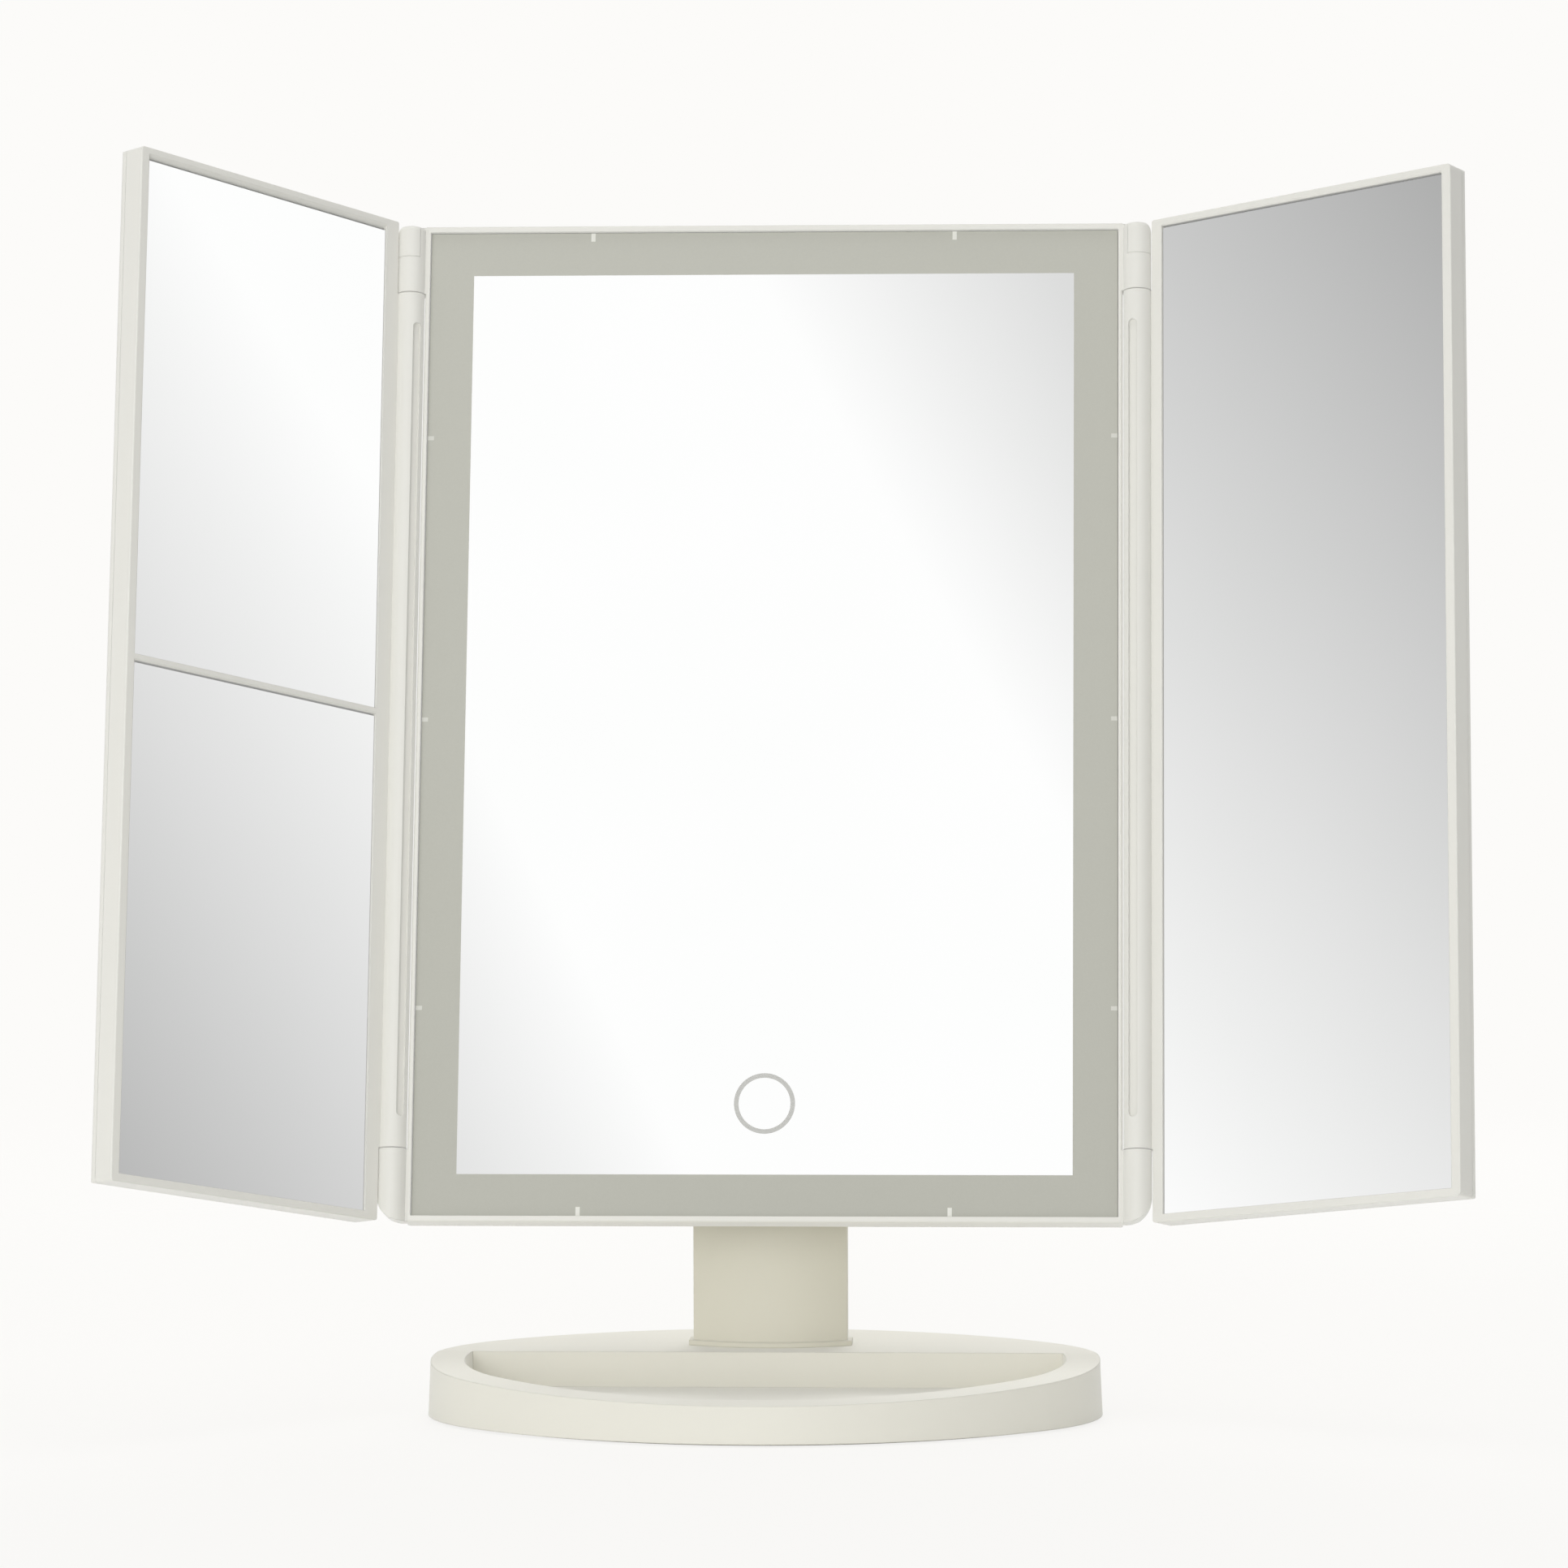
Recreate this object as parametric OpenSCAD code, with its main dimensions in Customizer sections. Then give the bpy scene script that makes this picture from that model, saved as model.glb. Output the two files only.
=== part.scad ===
// Trifold vanity mirror on an oval tray base.
// Millimetres, +Z up. The origin is the centre of the base's underside, and the mirror faces -Y.

/* [Mirror panel] */
// Width of the centre panel over its hinge knuckles
panel_w = 180; // [150:1:220]
// Height of the centre panel and of both wings
panel_h = 240; // [220:1:280]
// Depth of the centre frame's edge
frame_depth = 6.5; // [6:0.1:8]
// Width of the lip above and below the glass
lip_ends = 1.45; // [1:0.05:3]
// Width of the lip beside the glass
lip_sides = 1.05; // [0.8:0.05:2]
// How far the glass lies behind the lip
glass_recess = 1.0; // [0.5:0.1:1.5]
// Thickness of the mirror glass
glass_t = 2; // [1.5:0.1:2.5]
// Width of the lit border beside the silvering
border_sides = 10.6; // [8:0.1:16]
// Width of the lit border above and below the silvering
border_ends = 10.2; // [8:0.1:16]
// Width of the ledge that the glass rests on
ledge_w = 1.8; // [1.2:0.1:2.5]
// Radius of the panel's lower corners
corner_low_r = 6; // [4:0.5:6.5]
// Radius of the panel's upper corners
corner_top_r = 2.8; // [1:0.1:3.2]

/* [Back cover] */
// Depth of the cover's flat back behind the lip
cover_depth = 10.5; // [9.5:0.1:12]
// Wall of the back cover
cover_wall = 1.6; // [1.2:0.1:2]
// Round of the cover's back edge
cover_edge_r = 3.6; // [1:0.1:3.8]
// Depth of the housing's back behind the lip
housing_depth = 28.5; // [28:0.1:34]
// Width of the housing
housing_w = 116; // [116:1:130]
// Height of the housing's lower edge on the panel
housing_low = 8; // [4:1:12]
// Wall of the housing
housing_wall = 1.8; // [1.5:0.1:2.2]
// Thickness of the housing's side walls, which the door slides in
housing_side = 4; // [3.5:0.1:4.5]

/* [Side wings] */
// Fold of the left wing towards the front, from flat
left_fold = 50.5; // [0:0.5:120]
// Fold of the right wing towards the front, from flat
right_fold = 33.5; // [0:0.5:120]
// Distance from the hinge axis to the wing's outer edge
wing_reach = 86; // [60:0.1:86.2]
// Depth of a wing's frame without its back cover
wing_frame_t = 5.4; // [4.3:0.1:6]
// Thickness of a wing's back cover
wing_cover_t = 2; // [1:0.1:3]
// Width of the lip at the wing's outer edge
wing_lip_out = 2.3; // [1.5:0.05:5]
// Width of the lip at the right wing's inner edge
right_lip_in = 2.9; // [1.5:0.05:5]
// Width of the lip at the left wing's inner edge
left_lip_in = 4.1; // [1.5:0.05:5]
// Width of the lip at the wing's lower edge
wing_lip_low = 1.9; // [1.2:0.05:4]
// Width of the lip at the right wing's upper edge
right_lip_top = 1.8; // [1.2:0.05:4]
// Width of the lip at the left wing's upper edge
left_lip_top = 2.5; // [1.8:0.05:4]
// How far the right wing stands above the panel
right_rise = 0.4; // [0:0.1:1.5]
// How far the left wing stands above the panel
left_rise = 0.8; // [0:0.1:1.5]
// How far the right mirror lies behind its lip
right_recess = 0.5; // [0.3:0.1:1.2]
// How far the left mirrors lie behind their lip
left_recess = 0.5; // [0.3:0.1:1.2]
// Slope under the right wing's upper lip
right_slope = 0.3; // [0.1:0.1:1]
// Slope under the left wing's upper lip
left_slope = 1.0; // [0.1:0.1:1.2]
// Slope under the bar between the left mirrors
bar_slope = 0.3; // [0.1:0.1:0.4]
// Gap above each wing's mirror, which rests on the lower edge of its pocket
mirror_play = 0.5; // [0.2:0.05:0.8]
// Height of the lower edge of the bar between the left mirrors
bar_low = 119.7; // [80:0.1:160]
// Width of that bar
bar_w = 1.4; // [1.2:0.1:6]
// Thickness of the left wing's mirrors
left_glass_t = 1.5; // [1.2:0.1:1.5]

/* [Hinges] */
// Radius of the hinge knuckles
knuckle_r = 3.3; // [3:0.1:4]
// Depth of the hinge axis behind the centre lip
hinge_depth = 0.5; // [0.3:0.1:0.8]
// How far a wing's face lies behind the hinge axis
wing_front = 0.9; // [0.8:0.1:1.5]
// Height of the lower fixed knuckle
knuckle_low_h = 17; // [12:0.1:30]
// Height of the upper fixed knuckle with its cap
knuckle_top_h = 16.7; // [14:0.1:30]
// Height of the cap on the upper fixed knuckle
cap_h = 8; // [4:0.5:9]
// Radius of the hinge pins
hinge_pin_r = 1; // [0.8:0.05:1.4]
// Reach of a hinge pin into each knuckle
hinge_pin_reach = 8; // [6:0.5:8]
// Width of the groove in the long knuckle
groove_w = 2; // [1:0.1:3]
// Depth of that groove
groove_depth = 0.8; // [0.3:0.1:1]
// Distance from the groove's ends to the knuckle's ends
groove_margin = 7.4; // [4:0.1:20]
// Turn of the groove from the wing's face
groove_turn = 12; // [0:1:40]

/* [Stand] */
// Lean of the panel from upright
tilt = 13.5; // [0:0.5:30]
// Depth of the tilt axis behind the lip
pivot_depth = 22; // [21.5:0.1:24]
// Height of the tilt axis on the panel
pivot_height = 36; // [34:0.5:45]
// Height of the tilt axis above the table
pivot_z = 75.6; // [70:0.1:100]
// Width of the stem
stem_w = 36.3; // [30:0.1:44]
// Thickness of the stem
stem_t = 12.6; // [10:0.1:12.8]
// Distance of the stem behind the base's centre
stem_y = 23.4; // [18:0.1:28]
// Radius of the stem's convex front
stem_front_r = 34; // [26:1:60]
// Radius of the stem's flatter back
stem_back_r = 90; // [50:1:200]
// How far the collar stands out round the stem
collar_out = 1.1; // [0.5:0.1:2]
// Height of the collar
collar_h = 1.2; // [0.8:0.1:3]
// Radius of the tilt pin
tilt_pin_r = 2; // [1.5:0.1:2.5]

/* [Base] */
// Width of the base
base_w = 157; // [140:0.5:190]
// Depth of the base
base_d = 115; // [110:0.5:130]
// Radius of the base's narrow ends
base_end_r = 42; // [38:0.5:44]
// Height of the base at its back
base_h = 13.9; // [12:0.1:20]
// Height of the base at its front rim
rim_front_h = 9.2; // [8:0.1:11]
// Slope of the base's side, in millimetres over its height
base_draft = 0.6; // [0:0.1:1]
// Wall of the base
base_wall = 2.2; // [1.5:0.1:3]
// Width of the rim round the tray
rim_w = 8.5; // [6:0.1:12]
// Distance of the tray's straight edge behind the base's centre
tray_edge_y = 7.8; // [2:0.1:12]
// Height of the tray's floor above the table
tray_floor_z = 5.6; // [5.4:0.1:6.5]
// Thickness of the base's bottom cover
bottom_cover_t = 1.6; // [1:0.1:2]
// Thickness of the non-slip pad
pad_t = 1; // [0.6:0.1:1.2]
// Thickness of the steel ballast
ballast_t = 6; // [3:0.1:7]

/* [Power] */
// Diameter of a battery
cell_d = 14.5; // [14:0.1:14.5]
// Length of a battery
cell_l = 50.5; // [49:0.1:50.5]
// Travel of the power switch
switch_travel = 3; // [2:0.1:4]
// Diameter of the touch mark
touch_d = 14.3; // [10:0.1:18]
// Height of the touch mark's centre on the panel
touch_height = 28; // [24:0.5:40]

/* [Fits] */
// Gap between pieces that are laid or glued together
fit = 0.15; // [0.05:0.01:0.2]
// Gap between pieces that turn or slide past each other
running = 0.2; // [0.15:0.01:0.3]
// Radial gap between a pin and its bore
bore_gap = 0.05; // [0.02:0.01:0.09]

/* [Hidden] */
$fn = 96;

ivory = "#eeece2";
shade = "#e4e2d8";
silver = "#dfe2e4";
opal = "#d6d6cc";
steel = "#a9adb0";

// Gap between faces that rest on each other
seat = 0.02;
// Overlap of a cut past the face that it opens
past = 1;
// Sides of a spring's wire, and its lengths in each turn
wire_sides = 8;
coil_steps = 16;

// Centre panel
hinge_x = panel_w / 2 - knuckle_r;
panel_side = hinge_x - knuckle_r - running;
pocket_x = panel_side - lip_sides;
window_x = pocket_x - ledge_w;
window_low = lip_ends + ledge_w;
glass_back = glass_recess + glass_t;
silver_x = pocket_x - border_sides;
edge_r = 0.5;
corner_r = 1;
knuckle_drop = 0.3;
knuckle_round = 1.2;
long_low = knuckle_low_h + running;
long_top = panel_h - knuckle_top_h - running;

// Light behind the border
tray_wall = 1.1;
tray_floor_t = 1;
diffuser_t = 1.5;
board_t = 1;
led_h = 0.9;
tray_x = window_x - 2 * fit;
tray_low = window_low + 2 * fit;
tray_back = cover_depth - cover_wall - 2 * fit - tray_floor_t;
inner_x = silver_x - 2.2;
inner_low = lip_ends + border_ends + 2.2;
plate_t = 1.5;
tab_w = 1;
tab_rise = (panel_h - 2 * lip_ends) * 0.29;
tab_side = panel_w * 0.24;
led_gap = 30;

// Housing on the back cover
housing_x = housing_w / 2;
housing_r = 6;
bay_low = 58;
bay_h = 2 * cell_d + 3;
housing_top = bay_low + bay_h + housing_wall;
rib_t = housing_wall;
bay_x = housing_x - housing_side;
channel_x = stem_w / 2 + 4.5 * running;
channel_wall = 2.5;
channel_top = pivot_height + stem_t / 2 + 3 * running;
door_t = 1.6;
door_tongue_t = 0.7;
door_tongue_w = 1.2;
screw_x = panel_w * 0.36;
screw_heights = [22, panel_h / 2 + 8, panel_h - 22];
screw_r = 1.2;
screw_head_r = 2.4;
screw_head_t = 1.2;
screw_bite = 0.15;
boss_r = 3;
cover_screw_l = 5.6;

// Cells: two rows of two, end to end
cell_nub_r = 2.75;
cell_nub_h = 1.2;
cell_front = cover_depth + 3 * fit;
cell_depth = cell_front + cell_d / 2;
row_low = bay_low + 0.6 + cell_d / 2;
row_gap = cell_d + 0.8;
contact_t = 0.4;
contact_side = 10;
spring_r = 3.6;
spring_wire_r = 0.4;

// Control board and touch spring
board_w = 72;
board_h = 34;
board_low = touch_height - 10;
board_depth = tray_back - 0.4;
board_back = board_depth + 1.2;
post_r = 2;
lead_r = 0.5;
touch_hole_r = touch_d / 2 + 1;
touch_coil_r = 4.2;
touch_wire_r = 0.3;

// Switch and socket
switch_x = -38;
switch_height = 30;
knob_w = 4;
knob_h = 3.4;
knob_out = 1.1;
switch_t = 5;
knob_way = (switch_travel + knob_w) / 2 + running;
knob_rest = switch_x - switch_travel / 2;
socket_height = 26;
socket_depth = 19;
socket_w = 8;
socket_h = 3;
socket_l = 5.6;
socket_shell = 0.4;

// Wings
wing_in = knuckle_r + running / 2;
wing_back = wing_front + wing_frame_t;
wing_edge_r = 0.3;
wing_floor_t = 0.8;
web_back = wing_front + 3.3;
cover_round = 1.1;

// Stand
foot_z = 0.6;
cover_z = pad_t;
shell_in = cover_z + bottom_cover_t;
base_a = base_w / 2;
base_b = base_d / 2;
oval_c1 = base_a - base_end_r;
oval_c2 = (pow(oval_c1, 2) - pow(base_b - base_end_r, 2)) / (2 * (base_b - base_end_r));
oval_side_r = oval_c2 + base_b;
oval_seam = [oval_c1, oval_c2] / norm([oval_c1, oval_c2]);
side_screw_in = 20.5;
side_screw_back = 7;
back_screw_x = 28;
back_screw_in = 15.5;
front_screw_x = 34;
tenon_w = 26;
tenon_d = 7;
socket_wall = 2;
stem_screw_x = 8;
seam_step = 0.5;
stem_screw_l = 15;
base_screw_xy = [[base_a - side_screw_in, tray_edge_y + side_screw_back],
    [back_screw_x, base_b - back_screw_in],
    [front_screw_x, oval_c2 - sqrt(pow(oval_side_r - (rim_w + base_draft) / 2, 2) - pow(front_screw_x, 2))]];
base_screw_l = 5;
ballast_x = 46;
ballast_gap = 0.5;
ballast_in = 9;
tray_floor_wall = 1.8;
ear_out = channel_x + channel_wall;
nut_t = 3;
nut_across = 7;
pin_head_r = 3.4;
pin_head_t = 1.8;
washer_r = 5.2;

// ---- Shapes that repeat ----

// Rectangle with a round at each corner: radii from the lower left, anticlockwise
module outline(x0, y0, x1, y1, radii) {
    corners = [[x0, y0, 0], [x1, y0, 90], [x1, y1, 180], [x0, y1, 270]];
    difference() {
        translate([x0, y0]) square([x1 - x0, y1 - y0]);
        for (i = [0:3]) if (radii[i] > 0)
            translate([corners[i][0], corners[i][1]]) rotate(corners[i][2])
                difference() {
                    translate([-past, -past]) square([radii[i] + past, radii[i] + past]);
                    translate([radii[i], radii[i]]) circle(radii[i]);
                    translate([0, radii[i]]) square([radii[i] + past, past]);
                }
    }
}

// Block whose front edges, back edges and corners have rounds of their own
module soft_block(x0, x1, y0, y1, z0, z1, front_r, back_r, round_r) {
    intersection() {
        translate([0, 0, z0]) linear_extrude(z1 - z0)
            outline(x0, y0, x1, y1, [front_r, front_r, back_r, back_r]);
        translate([x0, 0, 0]) rotate([90, 0, 90]) linear_extrude(x1 - x0)
            outline(y0, z0, y1, z1, [front_r, back_r, back_r, front_r]);
        translate([0, y1, 0]) rotate([90, 0, 0]) linear_extrude(y1 - y0)
            outline(x0, z0, x1, z1, [round_r, round_r, round_r, round_r]);
    }
}

// Plain block between two corners
module block(x0, x1, y0, y1, z0, z1) {
    translate([x0, y0, z0]) cube([x1 - x0, y1 - y0, z1 - z0]);
}

// Plate facing the front, with round corners
module plate(x0, x1, z0, z1, y0, y1, round_r) {
    translate([0, y1, 0]) rotate([90, 0, 0]) linear_extrude(y1 - y0)
        outline(x0, z0, x1, z1, [round_r, round_r, round_r, round_r]);
}

// Round bar from one depth to another, seen end on from the front
module peg(x, z, y0, y1, r) {
    translate([x, y1, z]) rotate([90, 0, 0]) cylinder(r = r, h = y1 - y0);
}

// Round bar across the object
module axle(y, z, x0, x1, r) {
    translate([x0, y, z]) rotate([0, 90, 0]) cylinder(r = r, h = x1 - x0);
}

// Coil spring standing on its end, swept from short straight lengths of wire
module coil(r, wire_r, h, turns) {
    steps = turns * coil_steps;
    rings = [for (i = [0:steps]) for (j = [0:wire_sides - 1])
        let (along = i / steps, angle = 360 * turns * along, turn = 360 * j / wire_sides,
            reach = r + wire_r * cos(turn))
        [reach * cos(angle), reach * sin(angle), wire_r + (h - 2 * wire_r) * along + wire_r * sin(turn)]];
    sides = [for (i = [0:steps - 1]) for (j = [0:wire_sides - 1])
        let (a = i * wire_sides + j, b = i * wire_sides + (j + 1) % wire_sides,
            c = b + wire_sides, d = a + wire_sides)
        each [[a, b, c], [a, c, d]]];
    start = [for (j = [0:wire_sides - 1]) wire_sides - 1 - j];
    end = [for (j = [0:wire_sides - 1]) steps * wire_sides + j];
    polyhedron(rings, concat(sides, [start, end]));
}

// Self-tapping screw: head at the origin, shank upwards
module screw(length) {
    cylinder(r = screw_head_r, h = screw_head_t);
    cylinder(r = screw_r, h = length);
}

// Oval of four arcs, base_w by base_d, grown all round by `grow`
module oval_part(grow, z0, z1) {
    translate([0, 0, z0]) linear_extrude(z1 - z0) {
        intersection() {
            translate([0, -oval_c2]) circle(oval_side_r + grow, $fn = 240);
            translate([0, oval_c2]) circle(oval_side_r + grow, $fn = 240);
            square([2 * (oval_c1 + (base_end_r + grow) * oval_seam[0]), 2 * base_d], center = true);
        }
        for (s = [-1, 1]) translate([s * oval_c1, 0]) circle(base_end_r + grow, $fn = 180);
    }
}

// The same oval with a sloping side. Its middle ends just inside the end arcs.
module drafted_oval(z0, z1, draft) {
    h = z1 - z0;
    low_x = oval_c1 + base_end_r * oval_seam[0] - seam_step;
    high_x = low_x - draft * oval_seam[0];
    intersection() {
        translate([0, -oval_c2, z0]) oval_cone(oval_side_r, draft, h);
        translate([0, oval_c2, z0]) oval_cone(oval_side_r, draft, h);
        translate([0, base_d, z0]) rotate([90, 0, 0]) linear_extrude(2 * base_d)
            polygon([[-low_x, 0], [low_x, 0], [high_x, h], [-high_x, h]]);
    }
    for (s = [-1, 1]) translate([s * oval_c1, 0, z0]) oval_cone(base_end_r, draft, h);
}

module oval_cone(r, draft, h) {
    cylinder(r1 = r, r2 = r - draft, h = h, $fn = 240);
}

// ---- Places ----

// The centre panel: x across, y backwards from the lip, z up from its lower edge
module in_panel() {
    translate([0, stem_y, pivot_z]) rotate([-tilt, 0, 0]) translate([0, -pivot_depth, -pivot_height])
        children();
}

// A wing: x outwards from its hinge axis, y backwards, z up
module in_right_wing() {
    in_panel() translate([hinge_x, hinge_depth, 0]) rotate([0, 0, -right_fold]) children();
}
module in_left_wing() {
    in_panel() translate([-hinge_x, hinge_depth, 0]) rotate([0, 0, left_fold]) mirror([1, 0, 0])
        children();
}

// ---- Base ----

// Everything above the sloping front of the rim
module rim_slope() {
    fall = atan((base_h - rim_front_h) / (tray_edge_y + base_b));
    translate([0, tray_edge_y, base_h]) rotate([fall, 0, 0])
        translate([-base_w, -2 * base_d, 0]) cube([2 * base_w, 2 * base_d, base_h]);
}

module base_shell() {
    top_in = base_h - base_wall;
    color(ivory) difference() {
        drafted_oval(foot_z, base_h, base_draft);
        rim_slope();
        // tray
        intersection() {
            oval_part(-rim_w, tray_floor_z, base_h + past);
            block(-base_w, base_w, -base_d, tray_edge_y, tray_floor_z, base_h + past);
        }
        // hollow behind the tray
        difference() {
            intersection() {
                oval_part(-base_wall - base_draft, -past, top_in);
                block(-base_w, base_w, tray_edge_y + base_wall, base_d, -past, top_in);
            }
            base_bosses(boss_r, shell_in, base_h);
            block(-tenon_w / 2 - socket_wall, tenon_w / 2 + socket_wall,
                stem_y - tenon_d / 2 - socket_wall, stem_y + tenon_d / 2 + socket_wall, shell_in, base_h);
        }
        // hollow under the rim
        difference() {
            oval_part(-base_wall - base_draft, -past, rim_front_h - base_wall);
            oval_part(base_wall - rim_w, -2 * past, base_h);
            block(-base_w, base_w, tray_edge_y, base_d, -2 * past, base_h);
            base_bosses(boss_r, shell_in, base_h);
        }
        // seat of the bottom cover
        oval_part(-base_wall - base_draft, -past, shell_in);
        // hollow under the tray's floor
        difference() {
            intersection() {
                oval_part(base_wall - rim_w, -past, tray_floor_z - tray_floor_wall);
                block(-base_w, base_w, -base_d, tray_edge_y + base_wall + past, -past, base_h);
            }
            base_bosses(boss_r, shell_in, base_h);
        }
        // socket of the stem and screw holes
        block(-tenon_w / 2 - fit, tenon_w / 2 + fit, stem_y - tenon_d / 2 - fit,
            stem_y + tenon_d / 2 + fit, -past, base_h + past);
        base_bosses(screw_r - screw_bite, 0, shell_in + base_screw_l);
    }
}

// Round posts, or their holes, for the screws of the bottom cover
module base_bosses(r, z0, z1) {
    for (p = base_screw_xy) for (s = [-1, 1]) translate([s * p[0], p[1], z0])
        cylinder(r = r, h = z1 - z0);
}

module base_bottom_cover() {
    color(shade) difference() {
        oval_part(-base_wall - base_draft - fit, cover_z, shell_in - seat);
        base_bosses(screw_r + fit, 0, shell_in);
        base_bosses(screw_head_r + fit, 0, cover_z + screw_head_t + fit);
        for (s = [-1, 1]) translate([s * stem_screw_x, stem_y, cover_z - past]) {
            cylinder(r = screw_r + fit, h = 2 * past + bottom_cover_t);
            cylinder(r = screw_head_r + fit, h = past + screw_head_t + fit);
        }
    }
}

module base_ballast() {
    low = shell_in + seat;
    color(steel) difference() {
        intersection() {
            oval_part(-base_wall - base_draft - 1.2, low, low + ballast_t);
            block(-ballast_x, ballast_x, tray_edge_y + base_wall + ballast_gap, base_b - ballast_in,
                low, low + ballast_t);
        }
        block(-tenon_w / 2 - socket_wall - ballast_gap, tenon_w / 2 + socket_wall + ballast_gap,
            -base_d, stem_y + tenon_d / 2 + socket_wall + ballast_gap, 0, base_h);
        base_bosses(boss_r + ballast_gap, 0, base_h);
    }
}

module base_pad() {
    color("#d9d8d0") oval_part(-base_wall - base_draft - 0.8, 0, cover_z);
}

module base_screws() {
    color(steel) for (p = base_screw_xy) for (s = [-1, 1])
        translate([s * p[0], p[1], cover_z]) difference() {
            screw(shell_in - cover_z + base_screw_l - 0.6);
            translate([0, 0, -past]) cylinder(r = screw_r - 0.3, h = past + 0.5, $fn = 6);
        }
}

// ---- Stem ----

// Cross-section of the stem, grown by `grow`
module stem_section(grow) {
    half = stem_w / 2 + grow;
    intersection() {
        square([2 * half, stem_t + 2 * grow], center = true);
        translate([0, stem_front_r - stem_t / 2]) circle(stem_front_r + grow, $fn = 180);
        translate([0, stem_t / 2 - stem_back_r]) circle(stem_back_r + grow, $fn = 240);
    }
}

module stem() {
    tenon_low = shell_in + seat;
    color(shade) difference() {
        union() {
            translate([0, stem_y, base_h]) linear_extrude(pivot_z - base_h) stem_section(0);
            translate([0, stem_y, base_h]) linear_extrude(collar_h) stem_section(collar_out);
            axle(stem_y, pivot_z, -stem_w / 2, stem_w / 2, stem_t / 2);
            block(-tenon_w / 2, tenon_w / 2, stem_y - tenon_d / 2, stem_y + tenon_d / 2, tenon_low,
                base_h + past);
        }
        axle(stem_y, pivot_z, -stem_w, stem_w, tilt_pin_r + bore_gap);
        for (s = [-1, 1]) translate([s * stem_screw_x, stem_y, tenon_low - past])
            cylinder(r = screw_r - screw_bite, h = past + stem_screw_l + 1);
    }
}

module stem_screws() {
    color(steel) for (s = [-1, 1]) translate([s * stem_screw_x, stem_y, cover_z]) difference() {
        screw(shell_in - cover_z + stem_screw_l);
        translate([0, 0, -past]) cylinder(r = screw_r - 0.3, h = past + 0.5, $fn = 6);
    }
}

// ---- Centre panel ----

module centre_frame() {
    color(ivory) in_panel() difference() {
        union() {
            soft_block(-panel_side, panel_side, 0, frame_depth, 0, panel_h, edge_r, 0, 0);
            for (s = [-1, 1]) mirror([s < 0 ? 1 : 0, 0, 0]) fixed_knuckles();
        }
        plate(-pocket_x, pocket_x, lip_ends, panel_h - lip_ends, -past, glass_back, 0);
        plate(-window_x, window_x, window_low, panel_h - window_low, 0, frame_depth + past, 0);
    }
}

// The right-hand pair of short knuckles, without the cap of the upper one
module fixed_knuckles() {
    difference() {
        intersection() {
            union() {
                knuckle_bar();
                block(panel_side - 0.3, hinge_x, 0, hinge_depth + knuckle_r, 0, panel_h - knuckle_drop);
            }
            union() {
                block(0, panel_w, -panel_h, panel_h, 0, knuckle_low_h);
                block(0, panel_w, -panel_h, panel_h, panel_h - knuckle_top_h, panel_h);
            }
            corner_shape();
        }
        cap_space(0);
        for (z = [knuckle_low_h - hinge_pin_reach - 0.3, panel_h - knuckle_top_h - past])
            translate([hinge_x, hinge_depth, z])
                cylinder(r = hinge_pin_r + bore_gap, h = hinge_pin_reach + past + 0.3);
    }
}

// A round bar on the hinge axis, softly rounded at its upper end
module knuckle_bar() {
    top = panel_h - knuckle_drop;
    translate([hinge_x, hinge_depth, 0]) rotate_extrude() {
        square([knuckle_r, top - knuckle_round]);
        square([knuckle_r - knuckle_round, top]);
        translate([knuckle_r - knuckle_round, top - knuckle_round]) intersection() {
            circle(knuckle_round, $fn = 32);
            square(knuckle_round);
        }
    }
}

// The panel's right half seen from the front, with its rounded lower and upper corners
module corner_shape() {
    far = panel_w / 2;
    translate([0, panel_h, 0]) rotate([90, 0, 0]) linear_extrude(2 * panel_h) {
        square([far - corner_low_r, panel_h]);
        translate([0, corner_low_r]) square([far, panel_h - corner_low_r - corner_top_r]);
        translate([0, corner_low_r]) square([far - corner_top_r, panel_h - corner_low_r]);
        translate([far - corner_low_r, corner_low_r]) circle(corner_low_r);
        translate([far - corner_top_r, panel_h - corner_top_r]) circle(corner_top_r);
    }
}

// Room for the cap of the upper knuckle, on the outer side of the panel's edge
module cap_space(gap) {
    block(panel_side + 1.2 + gap, panel_w, -panel_h, panel_h, panel_h - cap_h + gap, panel_h + past);
}

module hinge_cap() {
    difference() {
        union() {
            intersection() {
                union() {
                    knuckle_bar();
                    block(panel_side, hinge_x, 0, hinge_depth + knuckle_r, 0, panel_h - knuckle_drop);
                }
                cap_space(0.03);
                corner_shape();
            }
        }
    }
}

module left_hinge_cap() {
    color(ivory) in_panel() mirror([1, 0, 0]) hinge_cap();
}

module right_hinge_cap() {
    color(ivory) in_panel() hinge_cap();
}

module centre_glass() {
    color(silver) in_panel()
        plate(fit - pocket_x, pocket_x - fit, lip_ends + fit, panel_h - lip_ends - fit,
            glass_recess, glass_back - seat, 0.5);
}

module diffuser() {
    front = glass_back + seat;
    color(opal) in_panel() difference() {
        plate(-tray_x, tray_x, tray_low, panel_h - tray_low, front, front + diffuser_t, 0);
        plate(-inner_x - 2 * fit, inner_x + 2 * fit, inner_low - 2 * fit, panel_h - inner_low + 2 * fit,
            front - past, front + diffuser_t + past, 0);
        tray_tabs(fit, front - past, front + diffuser_t + past);
    }
}

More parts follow.
